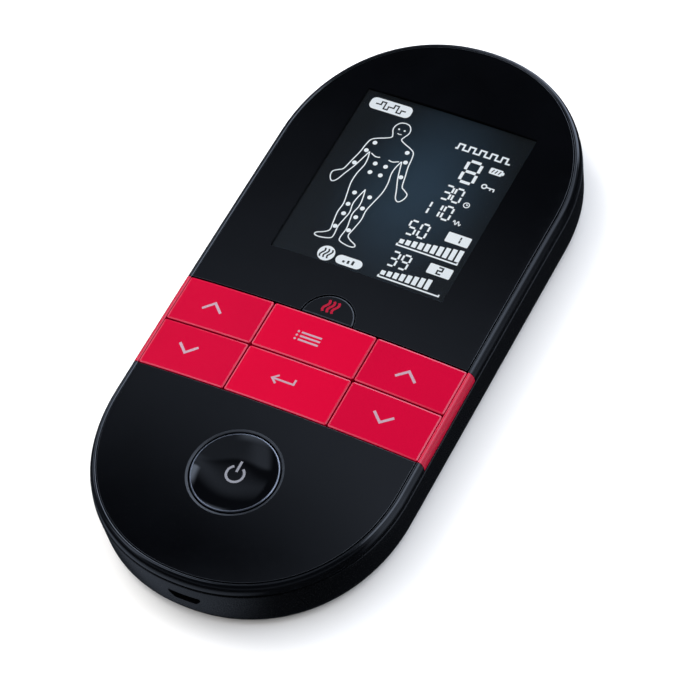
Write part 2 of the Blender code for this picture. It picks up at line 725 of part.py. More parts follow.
clear_scene()
PARTS = new_collection("nerve_stimulator")
TOOLS = new_collection("boolean_tools", hidden=True)
build_rear_casing()
build_front_casing()
build_rim_trims()
build_display_lens()
build_lower_panel()
build_red_keys()
build_heat_key()
build_power_button()
build_switches()
build_display_module()
build_board()
build_battery()
build_charging_port()
build_outlets()
build_components()
build_screws()
build_label()
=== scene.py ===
"""Looks of a handheld two-channel nerve stimulator with heat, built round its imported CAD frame.

Everything is measured in millimetres and turned into metres when a mesh is made. +X is the width, +Y
runs towards the display end, +Z comes out of the front and the rear face lies on z = 0.
"""

import math

import bpy
import numpy as np
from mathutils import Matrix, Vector
from mathutils.geometry import delaunay_2d_cdt


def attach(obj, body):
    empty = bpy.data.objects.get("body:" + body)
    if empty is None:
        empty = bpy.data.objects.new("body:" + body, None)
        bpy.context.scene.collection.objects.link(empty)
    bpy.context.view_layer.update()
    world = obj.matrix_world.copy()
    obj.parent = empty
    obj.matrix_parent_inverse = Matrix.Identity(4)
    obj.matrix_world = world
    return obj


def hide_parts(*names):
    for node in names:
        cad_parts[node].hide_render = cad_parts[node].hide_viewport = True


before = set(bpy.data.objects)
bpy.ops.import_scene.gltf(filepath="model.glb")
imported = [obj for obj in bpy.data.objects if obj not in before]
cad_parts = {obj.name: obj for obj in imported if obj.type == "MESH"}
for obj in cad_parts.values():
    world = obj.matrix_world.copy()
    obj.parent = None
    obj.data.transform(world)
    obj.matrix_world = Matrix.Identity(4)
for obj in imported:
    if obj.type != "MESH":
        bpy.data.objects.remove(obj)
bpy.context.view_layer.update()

MM = 0.001

# Driving dimensions of the case, as in the CAD.
HALF_WIDTH = 32.7
HALF_LENGTH = 69.5
STRAIGHT_SIDE = 35.0
END_EXPONENT = 2.13
CROWN_HEIGHT = 14.86
CROWN_FALL_X = 1.35 / 30.0**2
CROWN_FALL_Y = 0.64 / 60.0**2
RIM_WIDTH = 1.47
RIM_DROP = 2.5
RIM_BEVEL = (1, 2, 3)
RIM_LOWER = RIM_WIDTH - 0.1
RIM_START = -0.12
TRIM_START = -0.02
PLATE_EDGE = -0.02
PANEL_EDGE = -0.24
WALL = 1.9
FLOOR = 1.8
REAR_FILLET = 3.2
REAR_DRAFT = 0.3
GAP = 0.3
EDGE = HALF_WIDTH - RIM_WIDTH
REACH = HALF_LENGTH - RIM_WIDTH - STRAIGHT_SIDE

PLATE_TOP = 11.6
PLATE_BOTTOM = 10.4
PANEL_UNDERSIDE = PLATE_TOP + GAP
BUTTON_UNDERSIDE = 12.25
STEM_RADIUS = 1.4
STEM_HOLE = 1.75
FOOT_RADIUS = 2.1
FOOT_TOP = 10.3
FOOT_BOTTOM = 9.9

# The red band of keys, and the controls round it.
BAND_TOP = -5.8
BAND_MIDDLE = -16.8
BAND_BOTTOM = -28.3
COLUMN = 11.55
KEY_CORNER = 0.4
POWER_CENTRE = np.array((0.0, -44.45))
POWER_RADIUS = 8.9
POWER_DISH = 0.7
POWER_RING = 0.32
HEAT_CENTRE = np.array((0.0, BAND_TOP))
HEAT_RADIUS = 5.9
HEAT_STEM = np.array((0.0, BAND_TOP + 2.7))
HEAT_SINK = 0.02

# The display and the window above it.
DISPLAY_HALF_WIDTH = 19.5
DISPLAY_LOW = 6.6
DISPLAY_HIGH = 50.9
MODULE_MARGIN = 1.9
MODULE_TOP = 12.9
POCKET_TOP = MODULE_TOP + GAP
SCREEN_TOP = MODULE_TOP - 0.12
SCREEN_BOTTOM = MODULE_TOP - 1.7
MARK_LIFT = 0.02
DARK_LIFT = 0.035

# Screws and sockets.
SCREWS = [(x, y) for y in (44.0, -40.0) for x in (-25.2, 25.2)]
WELL_RADIUS = 2.35
WELL_DEPTH = 2.5
USB_X = 1.1
USB_Z = 6.8
USB_WIDTH = 6.9
USB_HEIGHT = 2.5
OUTLET_X = 9.5
OUTLET_Z = 5.9
OUTLET_RADIUS = 2.6
OUTLET_BORE = 1.3

# Resolution of the curved surfaces.
ARC_STEPS = 56
SIDE_STEPS = 10
EDGE_SECTION = ((1.0, 0.0), (0.9, 16.0), (0.3, 16.0), (0.1, 50.0), (0.0, 90.0))
PANEL_BEVEL = 0.07
OPENING_BEVEL = 0.55
KEY_BEVEL = 0.36
HEAT_BEVEL = 0.26
PANEL_SPACING = 3.0
KEY_SPACING = 2.5
HEAT_SPACING = 1.5
GRID_CLEARANCE = 0.45
WINDOW_CLEARANCE = 0.3
SHARP_ANGLE = math.radians(32.0)

UP = np.array((0.0, 0.0, 1.0))

# The studio's sky. Its middle is where the top of the case mirrors the camera. Each soft box has its
# limits in degrees across and upwards from there, the softness of each of them, and its strength.
SKY_MIDDLE = (-0.359, 0.461, 0.812)
SKY_ACROSS = (0.9334, 0.1772, 0.3121)
SKY_UPWARD = (0.0, 0.8696, -0.4937)
STRIP_ACROSS = (0.2165, 0.8869, -0.4078)
STRIP_PLACE = -2.25
STRIP_FADE = (9.4, 5.4)
GROUND_GLOW = (-0.6, -0.8, 0.0)
SOFT_BOXES = (
    ((13.9, 25.0, -3.4, 8.0), (2.6, 3.0, 0.6, 5.0), 3.0),
    ((36.0, 84.0, -16.0, 4.0), (5.0, 12.0, 2.0, 5.0), 2.4),
    ((30.0, 84.0, 3.0, 26.0), (4.0, 12.0, 5.0, 4.0), 1.2),
    ((-44.0, -24.0, -12.0, 14.0), (2.0, 2.0, 3.0, 3.0), 1.6),
    ((-6.0, 40.0, 19.0, 66.0), (5.0, 4.0, 3.0, 8.0), 2.6),
    ((-44.0, 3.0, -48.0, -26.0), (4.0, 4.0, 8.0, 5.0), 1.3),
    ((-13.0, 30.0, -40.0, -8.2), (4.0, 5.0, 6.0, 1.2), 0.26),
    ((-13.0, -3.0, -24.0, -8.6), (3.0, 3.0, 5.0, 1.2), 0.28),
)


# ---------------------------------------------------------------- meshes


class Shell:
    """A closed mesh being put together in millimetres, with a normal for each corner of each face."""

    def __init__(self):
        self.points = []
        self.faces = []
        self.normals = []
        self.slots = []

    def ring(self, points):
        """Adds points and returns their numbers."""
        first = len(self.points)
        self.points.extend(tuple(point) for point in points)
        return np.arange(first, len(self.points))

    def face(self, corners, normals=None, slot=0):
        self.faces.append([int(corner) for corner in corners])
        self.normals.append(normals)
        self.slots.append(slot)

    def band(self, upper, lower, upper_normals=None, lower_normals=None, slot=0):
        """Quads between two rings that run anticlockwise seen from above, facing outwards."""
        count = len(upper)
        for i in range(count):
            j = (i + 1) % count
            normals = None
            if upper_normals is not None:
                normals = (lower_normals[i], lower_normals[j], upper_normals[j], upper_normals[i])
            self.face((lower[i], lower[j], upper[j], upper[i]), normals, slot)


def unit(vectors):
    return vectors / np.linalg.norm(vectors, axis=-1, keepdims=True)


def with_z(plan, z):
    """Plan points with a height, which is one number or one for each point."""
    return np.column_stack([plan, np.broadcast_to(z, len(plan))])


def constant(vector, count):
    return np.tile(np.asarray(vector, float), (count, 1))


def inside(points, loops):
    """Which points lie inside an odd number of the closed plans."""
    found = np.zeros(len(points), bool)
    for loop in loops:
        after = np.roll(loop, -1, 0)
        for (ax, ay), (bx, by) in zip(loop, after):
            crosses = (ay > points[:, 1]) != (by > points[:, 1])
            reach = ax + (points[:, 1] - ay) * (bx - ax) / (by - ay if by != ay else 1.0)
            found ^= crosses & (points[:, 0] < reach)
    return found


def grid_inside(loops, spacing):
    """Points of a square grid that lie inside the plans and clear of their corners."""
    corners = np.vstack(loops)
    low, high = corners.min(0), corners.max(0)
    xs = np.arange(low[0] + spacing / 2.0, high[0], spacing)
    ys = np.arange(low[1] + spacing / 2.0, high[1], spacing)
    grid = np.array([(x, y) for y in ys for x in xs]).reshape(-1, 2)
    grid = grid[inside(grid, loops)]
    nearest = np.array([np.hypot(*(corners - point).T).min() for point in grid])
    return grid[nearest > GRID_CLEARANCE * spacing]


def fill(shell, loops, height, normal, spacing=0.0, facing=1, window=None):
    """Covers the area inside rings of the shell. The faces inside the window's plan take the second slot."""
    plans = [np.array([shell.points[i][:2] for i in loop]) for loop in loops]
    added = [] if window is None else [window]
    edges = []
    start = 0
    for loop in [*plans, *added]:
        count = len(loop)
        edges += [(start + i, start + (i + 1) % count) for i in range(count)]
        start += count
    if spacing:
        grid = grid_inside(plans, spacing)
        if window is not None:
            grid = grid[[np.hypot(*(window - point).T).min() > WINDOW_CLEARANCE * spacing for point in grid]]
        added.append(grid)
    numbers = np.concatenate(loops)
    coordinates = np.vstack([*plans, *added])
    if added:
        places = np.vstack(added)
        numbers = np.concatenate([numbers, shell.ring(with_z(places, height(places)))])
    points = [Vector((float(x), float(y))) for x, y in coordinates]
    _, _, faces, origins, _, _ = delaunay_2d_cdt(points, edges, [], 0, 1e-6)
    triangles = np.array([[origins[corner][0] for corner in face] for face in faces])
    centres = coordinates[triangles].mean(1)
    kept = inside(centres, plans)
    windowed = np.zeros(len(kept), bool) if window is None else inside(centres, [window])
    normals = normal(coordinates)
    for corners, in_window in zip(triangles[kept], windowed[kept]):
        ordered = corners[::facing]
        shell.face(numbers[ordered], normals[ordered], int(in_window))


def piece(name, shell, body, materials, stands_for=()):
    """Makes the object of a shell, with its materials and its body, and hides the CAD nodes that it stands
    for.
    """
    mesh = bpy.data.meshes.new(name)
    mesh.from_pydata([tuple(c * MM for c in point) for point in shell.points], [], shell.faces)
    for material in materials:
        mesh.materials.append(material)
    mesh.polygons.foreach_set("material_index", shell.slots)
    mesh.shade_smooth()
    if any(normals is None for normals in shell.normals):
        mesh.set_sharp_from_angle(angle=SHARP_ANGLE)
    else:
        mesh.normals_split_custom_set([tuple(n) for normals in shell.normals for n in normals])
    obj = bpy.data.objects.new(name, mesh)
    bpy.context.scene.collection.objects.link(obj)
    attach(obj, body)
    if stands_for:
        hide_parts(*stands_for)
    return obj


# ---------------------------------------------------------------- outline and dome of the case


def crown(plan):
    return CROWN_HEIGHT - CROWN_FALL_X * plan[:, 0] ** 2 - CROWN_FALL_Y * plan[:, 1] ** 2


def crown_normal(plan):
    slopes = plan * np.array((2.0 * CROWN_FALL_X, 2.0 * CROWN_FALL_Y))
    return unit(with_z(slopes, 1.0))


def level(z):
    return lambda plan: np.full(len(plan), z)


def upright(sign):
    return lambda plan: constant((0.0, 0.0, sign), len(plan))


def edge_run(start):
    """The panels' edge above this y, from the right side round to the left: points and outward normals."""
    power = 2.0 / END_EXPONENT
    side = [(EDGE, y, 1.0, 0.0) for y in np.linspace(start, STRAIGHT_SIDE, SIDE_STEPS, endpoint=False)]
    arc = []
    for turn in np.linspace(0.0, math.pi / 2.0, ARC_STEPS + 1):
        across = max(math.cos(turn), 0.0) ** power if turn < math.pi / 2.0 - 1e-9 else 0.0
        ahead = math.sin(turn) ** power
        nx = across ** (END_EXPONENT - 1.0) / EDGE
        ny = ahead ** (END_EXPONENT - 1.0) / REACH
        length = math.hypot(nx, ny)
        arc.append((EDGE * across, STRAIGHT_SIDE + REACH * ahead, nx / length, ny / length))
    quarter = side + arc
    mirrored = [(-x, y, -nx, ny) for x, y, nx, ny in reversed(quarter[:-1])]
    return np.array(quarter + mirrored)


def turned(run):
    """The same run at the other end of the case."""
    return -run


def whole_edge():
    """The panels' edge all the way round, anticlockwise from the middle of the right side."""
    half = edge_run(0.0)[:-1]
    return np.vstack([half, turned(half)])


def offset_run(run, offset):
    return run[:, :2] + offset * run[:, 2:]


def section_ring(run, offset, drop=None, z=None):
    """Points beside the run, at a drop below the dome's edge or at a fixed height."""
    return with_z(offset_run(run, offset), crown(run[:, :2]) - drop if z is None else z)


# ---------------------------------------------------------------- plans


def circle(centre, radius, steps):
    turns = np.arange(steps) * 2.0 * math.pi / steps
    return np.asarray(centre) + radius * np.column_stack([np.cos(turns), np.sin(turns)])


def split_edges(plan, longest):
    """The same closed plan with no edge longer than this."""
    found = []
    for a, b in zip(plan, np.roll(plan, -1, 0)):
        pieces = max(1, math.ceil(np.hypot(*(b - a)) / longest - 1e-6))
        found += [a + (b - a) * i / pieces for i in range(pieces)]
    return np.array(found)


def rounded_rectangle(x0, x1, y0, y1, radius, longest=1.5, corner_steps=5):
    corners = ((x1, y1, 0), (x0, y1, 1), (x0, y0, 2), (x1, y0, 3))
    plan = []
    for x, y, quarter in corners:
        cx = x - math.copysign(radius, x - (x0 + x1) / 2.0)
        cy = y - math.copysign(radius, y - (y0 + y1) / 2.0)
        for i in range(corner_steps + 1):
            turn = (quarter + i / corner_steps) * math.pi / 2.0
            plan.append((cx + radius * math.cos(turn), cy + radius * math.sin(turn)))
    return split_edges(np.array(plan), longest)


def rectangle(x0, x1, y0, y1, longest=4.0):
    return split_edges(np.array([(x0, y0), (x1, y0), (x1, y1), (x0, y1)], float), longest)


def inset(loop, amount):
    """The plan moved into its material, which lies to the left of it, and the outward directions."""
    ahead = unit(np.roll(loop, -1, 0) - loop)
    behind = np.roll(ahead, 1, 0)
    out_ahead = np.column_stack([ahead[:, 1], -ahead[:, 0]])
    out_behind = np.column_stack([behind[:, 1], -behind[:, 0]])
    middle = out_ahead + out_behind
    mitre = middle / (1.0 + (out_ahead * out_behind).sum(1, keepdims=True))
    return loop - amount * mitre, unit(middle)


def smooth_line(points, steps):
    """A smooth line through the points."""
    points = np.asarray(points, float)
    last = len(points) - 1
    found = []
    for i in range(last):
        a, b, c, d = (points[min(max(i + k, 0), last)] for k in (-1, 0, 1, 2))
        for t in np.arange(steps) / steps:
            square = (2 * a - 5 * b + 4 * c - d) * t**2
            cube = (3 * b - a - 3 * c + d) * t**3
            found.append(0.5 * (2 * b + (c - a) * t + square + cube))
    return np.array(found + [points[-1]])


# ---------------------------------------------------------------- solids


def edge_section(width):
    """A flat bevel that rounds over into the side: how far in, how far down and the tilt of each step."""
    found = []
    drop = 0.0
    for share, tilt in EDGE_SECTION:
        if found:
            before, _, last = found[-1]
            drop += (before - share * width) * math.tan(math.radians((last + tilt) / 2.0))
        found.append((share * width, drop, tilt))
    return found


def plate(shell, loops, height, normal, edges, under, spacing, window=None, edge_slot=0):
    """The top and sides of a solid with bevelled upper edges. Returns the rings along its underside."""
    tops = []
    bottoms = []
    for loop, edge in zip(loops, edges):
        rings = []
        for amount, drop, tilt in edge_section(edge):
            plan, outward = inset(loop, amount)
            sideways = with_z(outward, 0.0)
            turn = math.radians(tilt)
            normals = unit(math.cos(turn) * normal(plan) + math.sin(turn) * sideways)
            rings.append((shell.ring(with_z(plan, height(plan) - drop)), normals))
        for (upper, upper_normals), (lower, lower_normals) in zip(rings, rings[1:]):
            shell.band(upper, lower, upper_normals, lower_normals, edge_slot)
        foot = shell.ring(with_z(loop, under))
        shell.band(rings[-1][0], foot, sideways, sideways)
        tops.append(rings[0][0])
        bottoms.append(foot)
    fill(shell, tops, height, normal, spacing, window=window)
    return bottoms


def stem(shell, bottoms, centre):
    """The underside of a button, its stem and the foot that holds it in the case."""
    steps = 24
    levels = [(STEM_RADIUS, BUTTON_UNDERSIDE), (STEM_RADIUS, FOOT_TOP)]
    levels += [(FOOT_RADIUS, FOOT_TOP), (FOOT_RADIUS, FOOT_BOTTOM)]
    rings = [shell.ring(with_z(circle(centre, radius, steps), z)) for radius, z in levels]
    outward = with_z(circle((0.0, 0.0), 1.0, steps), 0.0)
    upward = constant(UP, steps)
    fill(shell, [*bottoms, rings[0]], level(BUTTON_UNDERSIDE), upright(-1.0), facing=-1)
    for upper, lower, normals in zip(rings, rings[1:], (outward, upward, outward)):
        shell.band(upper, lower, normals, normals)
    shell.face(rings[-1][::-1], constant(-UP, steps))


def lofted(sections):
    """Rings of equal length joined in order from the top down, with both ends capped."""
    shell = Shell()
    rings = [shell.ring(section) for section in sections]
    for upper, lower in zip(rings, rings[1:]):
        shell.band(upper, lower)
    shell.face(rings[0])
    shell.face(rings[-1][::-1])
    return shell


def revolved(centre, profile, steps=48):
    """A solid turned about an upright axis, from its top face down to its bottom face."""
    return lofted([with_z(circle(centre, radius, steps), z) for radius, z in profile])


def lying(shell):
    """The shell turned so that its upright axis points along +Y."""
    shell.points = [(x, z, -y) for x, y, z in shell.points]
    return shell


def moved(shell, x, y, z):
    shell.points = [(px + x, py + y, pz + z) for px, py, pz in shell.points]
    return shell


def joined(*shells):
    """Several shells as one."""
    whole = Shell()
    for shell in shells:
        start = len(whole.points)
        whole.points += shell.points
        whole.faces += [[corner + start for corner in face] for face in shell.faces]
        whole.normals += shell.normals
        whole.slots += shell.slots
    return whole


def prism(plans, low, high):
    """An upright solid between two levels, from an outer plan and any holes in it."""
    shell = Shell()
    tops = [shell.ring(with_z(plan, high)) for plan in plans]
    bottoms = [shell.ring(with_z(plan, low)) for plan in plans]
    for top, bottom in zip(tops, bottoms):
        shell.band(top, bottom)
    fill(shell, tops, level(high), upright(1.0))
    fill(shell, bottoms, level(low), upright(-1.0), facing=-1)
    shell.normals = [None] * len(shell.faces)
    return shell


def cut(obj, shells):
    """Takes the shells out of an object's mesh."""
    for number, shell in enumerate(shells, 1):
        name = f"{obj.name}_cutter_{number}"
        mesh = bpy.data.meshes.new(name)
        mesh.from_pydata([tuple(c * MM for c in point) for point in shell.points], [], shell.faces)
        cutter = bpy.data.objects.new(name, mesh)
        bpy.context.scene.collection.objects.link(cutter)
        modifier = obj.modifiers.new(name, "BOOLEAN")
        modifier.operation = "DIFFERENCE"
        modifier.solver = "EXACT"
        modifier.object = cutter
        graph = bpy.context.evaluated_depsgraph_get()
        made = bpy.data.meshes.new_from_object(obj.evaluated_get(graph))
        obj.modifiers.clear()
        obj.data = made
        bpy.data.objects.remove(cutter)
    obj.data.shade_smooth()
    obj.data.set_sharp_from_angle(angle=SHARP_ANGLE)


# ---------------------------------------------------------------- printed marks


def mark_shell(plan, height, lift=0.015, depth=0.05):
    """A thin filled shape lying on a surface."""
    shell = Shell()
    top = shell.ring(with_z(plan, height(plan) + lift))
    bottom = shell.ring(with_z(plan, height(plan) - depth))
    shell.band(top, bottom)
    shell.face(top)
    shell.face(bottom[::-1])
    return shell


def stroke_shell(line, width, height, lift=0.015, depth=0.05, closed=False, slot=0):
    """A thin band of even width that follows a line along a surface."""
    line = np.asarray(line, float)
    if closed:
        line = np.vstack([line, line[:1]])
    ahead = unit(np.diff(line, axis=0))
    first = np.vstack([ahead[-1:] if closed else ahead[:1], ahead])
    last = np.vstack([ahead, ahead[:1] if closed else ahead[-1:]])
    mitre = 1.0 / np.maximum(1.0 + (first * last).sum(1, keepdims=True), 0.35)
    middle = (first + last) * mitre * (width / 2.0)
    side = np.column_stack([middle[:, 1], -middle[:, 0]])
    right, left = line + side, line - side
    shell = Shell()
    section = ((right, lift), (left, lift), (left, -depth), (right, -depth))
    corners = [shell.ring(with_z(plan, height(plan) + offset)) for plan, offset in section]
    for i in range(len(line) - 1):
        for a, b in zip(corners, corners[1:] + corners[:1]):
            shell.face((a[i], a[i + 1], b[i + 1], b[i]), slot=slot)
    shell.face([ring[0] for ring in corners], slot=slot)
    shell.face([ring[-1] for ring in reversed(corners)], slot=slot)
    return shell


def arc_line(centre, radius, start, end, steps=24):
    """Points along an arc, with its angles in degrees."""
    turns = np.radians(np.linspace(start, end, steps))
    return np.asarray(centre) + radius * np.column_stack([np.cos(turns), np.sin(turns)])


def wave_lines(centre, size, count=3):
    """Rising waves side by side, the usual sign for heat."""
    found = []
    for number in range(count):
        x = centre[0] + (number - (count - 1) / 2.0) * size * 0.36
        rise = np.linspace(-0.5, 0.5, 9)
        sway = 0.11 * size * np.sin(rise * 2.0 * math.pi)
        found.append(np.column_stack([x + sway + rise * size * 0.12, centre[1] + rise * size]))
    return found


SEGMENTS = {
    "a": ((0.0, 1.0), (1.0, 1.0)),
    "b": ((1.0, 1.0), (1.0, 0.5)),
    "c": ((1.0, 0.5), (1.0, 0.0)),
    "d": ((1.0, 0.0), (0.0, 0.0)),
    "e": ((0.0, 0.0), (0.0, 0.5)),
    "f": ((0.0, 0.5), (0.0, 1.0)),
    "g": ((0.0, 0.5), (1.0, 0.5)),
}
DIGITS = {"0": "abcdef", "1": "bc", "3": "abcdg", "5": "acdfg", "8": "abcdefg", "9": "abcdfg"}


def digit_lines(digit, x, y, width, tall, gap):
    """The lit segments of one digit, drawn between the middles of its strokes."""
    found = []
    for letter in DIGITS[digit]:
        (ax, ay), (bx, by) = SEGMENTS[letter]
        a = np.array((x + ax * width, y + ay * tall))
        b = np.array((x + bx * width, y + by * tall))
        step = (b - a) / np.hypot(*(b - a)) * gap
        found.append(np.array((a + step, b - step)))
    return found


# ---------------------------------------------------------------- materials


def add_node(tree, kind, values=(), **settings):
    """A node with its settings and the values of its sockets."""
    node = tree.nodes.new(kind)
    for name, value in settings.items():
        setattr(node, name, value)
    for socket, value in dict(values).items():
        node.inputs[socket].default_value = value
    return node


def noise(tree, scale, detail=3.0, stretch=(1.0, 1.0, 1.0)):
    """Noise over the surface. The scale is in turns to the metre."""
    place = add_node(tree, "ShaderNodeTexCoord")
    mapping = add_node(tree, "ShaderNodeMapping", {"Scale": stretch})
    tree.links.new(place.outputs["Object"], mapping.inputs["Vector"])
    texture = add_node(tree, "ShaderNodeTexNoise", {"Scale": scale, "Detail": detail})
    tree.links.new(mapping.outputs["Vector"], texture.inputs["Vector"])
    return texture.outputs["Fac"]


def ranged(tree, source, low, high):
    """A value from 0.3 to 0.7 stretched over the range."""
    limits = {"From Min": 0.3, "From Max": 0.7, "To Min": low, "To Max": high}
    node = add_node(tree, "ShaderNodeMapRange", limits)
    tree.links.new(source, node.inputs["Value"])
    return node.outputs["Result"]


def blended(tree, factor, first, second):
    """A colour between two, by the factor."""
    node = add_node(tree, "ShaderNodeMix", data_type="RGBA")
    tree.links.new(factor, node.inputs[0])
    for index, colour in ((6, first), (7, second)):
        if isinstance(colour, tuple):
            node.inputs[index].default_value = (*colour, 1.0)
        else:
            tree.links.new(colour, node.inputs[index])
    return node.outputs[2]


def shaded(colour, factor):
    return tuple(part * factor for part in colour)


def finish(name, colour, roughness, spread, grain, bump, patches, vary, stretch=(1.0, 1.0, 1.0), **plain):
    """A Principled surface whose colour, gloss and fine relief vary. The rest are plain socket values."""
    made = bpy.data.materials.new(name)
    made.use_nodes = True
    tree = made.node_tree
    shader = tree.nodes["Principled BSDF"]
    for socket, value in plain.items():
        shader.inputs[socket.replace("_", " ").title().replace("Ior", "IOR")].default_value = value
    patch = ranged(tree, noise(tree, patches), 0.0, 1.0)
    mixed = blended(tree, patch, shaded(colour, 1.0 - vary), shaded(colour, 1.0 + vary))
    tree.links.new(mixed, shader.inputs["Base Color"])
    fine = noise(tree, grain, 2.0, stretch)
    tree.links.new(ranged(tree, fine, roughness - spread, roughness + spread), shader.inputs["Roughness"])
    relief = add_node(tree, "ShaderNodeBump", {"Strength": bump, "Distance": 0.0001})
    tree.links.new(fine, relief.inputs["Height"])
    tree.links.new(relief.outputs["Normal"], shader.inputs["Normal"])
    made.diffuse_color = (*colour, 1.0)
    return made


def lit_finish(name, dark, bright, centre, reach, base):
    """A self-lit surface, brighter towards a centre, with the faint unevenness of a backlight."""
    made = finish(name, base, 0.25, 0.05, 4000.0, 0.0, 60.0, 0.1)
    tree = made.node_tree
    shader = tree.nodes["Principled BSDF"]
    place = add_node(tree, "ShaderNodeTexCoord")
    mapping = add_node(
        tree,
        "ShaderNodeMapping",
        {"Location": [-c / r for c, r in zip(centre, reach)], "Scale": [1000.0 / r for r in reach]},
    )
    tree.links.new(place.outputs["Object"], mapping.inputs["Vector"])
    glow = add_node(tree, "ShaderNodeTexGradient", gradient_type="SPHERICAL")
    tree.links.new(mapping.outputs["Vector"], glow.inputs["Vector"])
    softened = add_node(tree, "ShaderNodeMapRange", interpolation_type="SMOOTHSTEP")
    tree.links.new(glow.outputs["Fac"], softened.inputs["Value"])
    cloud = ranged(tree, noise(tree, 140.0), 0.92, 1.08)
    level_node = add_node(tree, "ShaderNodeMath", operation="MULTIPLY")
    tree.links.new(softened.outputs["Result"], level_node.inputs[0])
    tree.links.new(cloud, level_node.inputs[1])
    tree.links.new(blended(tree, level_node.outputs["Value"], dark, bright), shader.inputs["Emission Color"])
    shader.inputs["Emission Strength"].default_value = 1.0
    shader.inputs["Specular IOR Level"].default_value = 0.0
    return made


# Each has a colour, then roughness, spread, grain, bump, patches and vary, then what else it needs.
FINISHES = {
    "gloss_black": ((0.0007, 0.0008, 0.0011), (0.045, 0.012, 700.0, 0.004, 70.0, 0.25), {"ior": 1.47}),
    "panel_edge": (
        (0.0010, 0.0012, 0.0016), (0.42, 0.03, 1500.0, 0.0, 110.0, 0.2),
        {"specular_ior_level": 1.0},
    ),
    "rim_edge": (
        (0.0010, 0.0012, 0.0016), (0.18, 0.03, 3500.0, 0.01, 110.0, 0.2),
        {"specular_ior_level": 1.0},
    ),
    "rim_black": ((0.0008, 0.0010, 0.0014), (0.13, 0.03, 3500.0, 0.02, 110.0, 0.2), {}),
    "satin_black": (
        (0.0008, 0.0009, 0.0012), (0.28, 0.05, 4200.0, 0.20, 120.0, 0.15),
        {"specular_ior_level": 0.45},
    ),
    "key_red": (
        (0.333, 0.0002, 0.0165), (0.34, 0.05, 4200.0, 0.08, 80.0, 0.02),
        {"specular_ior_level": 0.02},
    ),
    "key_red_outer": (
        (0.297, 0.0004, 0.0165), (0.34, 0.05, 4200.0, 0.08, 80.0, 0.02),
        {"specular_ior_level": 0.02},
    ),
    "key_red_edge": (
        (0.333, 0.001, 0.020), (0.18, 0.03, 4200.0, 0.03, 80.0, 0.02),
        {"specular_ior_level": 0.7},
    ),
    "button_ring": ((0.30, 0.31, 0.34), (0.32, 0.02, 900.0, 0.0, 200.0, 0.05), {"metallic": 1.0}),
    "trim_red": ((0.330, 0.002, 0.020), (0.18, 0.03, 4200.0, 0.05, 80.0, 0.02), {}),
    "legend": ((0.25, 0.155, 0.185), (0.45, 0.06, 3000.0, 0.05, 200.0, 0.04), {}),
    "power_legend": ((0.125, 0.125, 0.140), (0.40, 0.06, 3000.0, 0.05, 200.0, 0.04), {}),
    "heat_legend": (
        (0.21, 0.001, 0.014), (0.40, 0.06, 3000.0, 0.05, 200.0, 0.05),
        {"specular_ior_level": 0.1},
    ),
    "clear_window": (
        (0.97, 0.985, 1.0), (0.012, 0.008, 900.0, 0.0, 60.0, 0.01),
        {"transmission_weight": 1.0, "ior": 1.3},
    ),
    "board_green": ((0.012, 0.110, 0.042), (0.40, 0.08, 1800.0, 0.25, 400.0, 0.3), {}),
    "white_plastic": ((0.72, 0.72, 0.68), (0.50, 0.08, 2500.0, 0.15, 150.0, 0.04), {}),
    "tinned_steel": (
        (0.60, 0.60, 0.59), (0.30, 0.10, 1600.0, 0.15, 300.0, 0.1),
        {"stretch": (1.0, 1.0, 12.0), "metallic": 1.0},
    ),
    "gold_contact": ((0.80, 0.56, 0.20), (0.25, 0.08, 2500.0, 0.1, 300.0, 0.08), {"metallic": 1.0}),
    "cell_foil": ((0.60, 0.62, 0.64), (0.34, 0.10, 500.0, 0.8, 90.0, 0.1), {"metallic": 0.9}),
    "foam_grey": ((0.10, 0.10, 0.105), (0.90, 0.06, 2200.0, 1.0, 300.0, 0.25), {}),
    "chip_black": ((0.020, 0.020, 0.021), (0.55, 0.08, 3500.0, 0.3, 200.0, 0.2), {}),
    "ferrite": ((0.080, 0.075, 0.070), (0.60, 0.1, 2600.0, 0.5, 250.0, 0.25), {}),
    "label_grey": (
        (0.42, 0.43, 0.45), (0.42, 0.08, 1800.0, 0.1, 160.0, 0.06),
        {"stretch": (1.0, 14.0, 1.0), "metallic": 0.6},
    ),
    "wire_red": ((0.52, 0.018, 0.018), (0.45, 0.08, 1500.0, 0.2, 200.0, 0.08), {}),
    "wire_black": ((0.018, 0.018, 0.018), (0.45, 0.08, 1500.0, 0.2, 200.0, 0.15), {}),
}
# Each has its dark and bright colours, the centre and reach of its glow, and its unlit colour.
LIT_FINISHES = {
    "screen": (
        (0.0050, 0.0060, 0.0065), (0.018, 0.034, 0.052),
        (2.0, 31.0, 12.0), (20.0, 30.0, 30.0), (0.004, 0.006, 0.008),
    ),
    "screen_white": (
        (0.74, 0.79, 0.83), (0.84, 0.88, 0.91),
        (0.0, 28.0, 12.0), (30.0, 34.0, 30.0), (0.02, 0.02, 0.02),
    ),
    "screen_dark": (
        (0.010, 0.014, 0.018), (0.014, 0.019, 0.024),
        (0.0, 28.0, 12.0), (30.0, 34.0, 30.0), (0.01, 0.01, 0.01),
    ),
}
MATERIALS = {name: finish(name, colour, *values, **more) for name, (colour, values, more) in FINISHES.items()}
MATERIALS.update({name: lit_finish(name, *values) for name, values in LIT_FINISHES.items()})


# ---------------------------------------------------------------- case


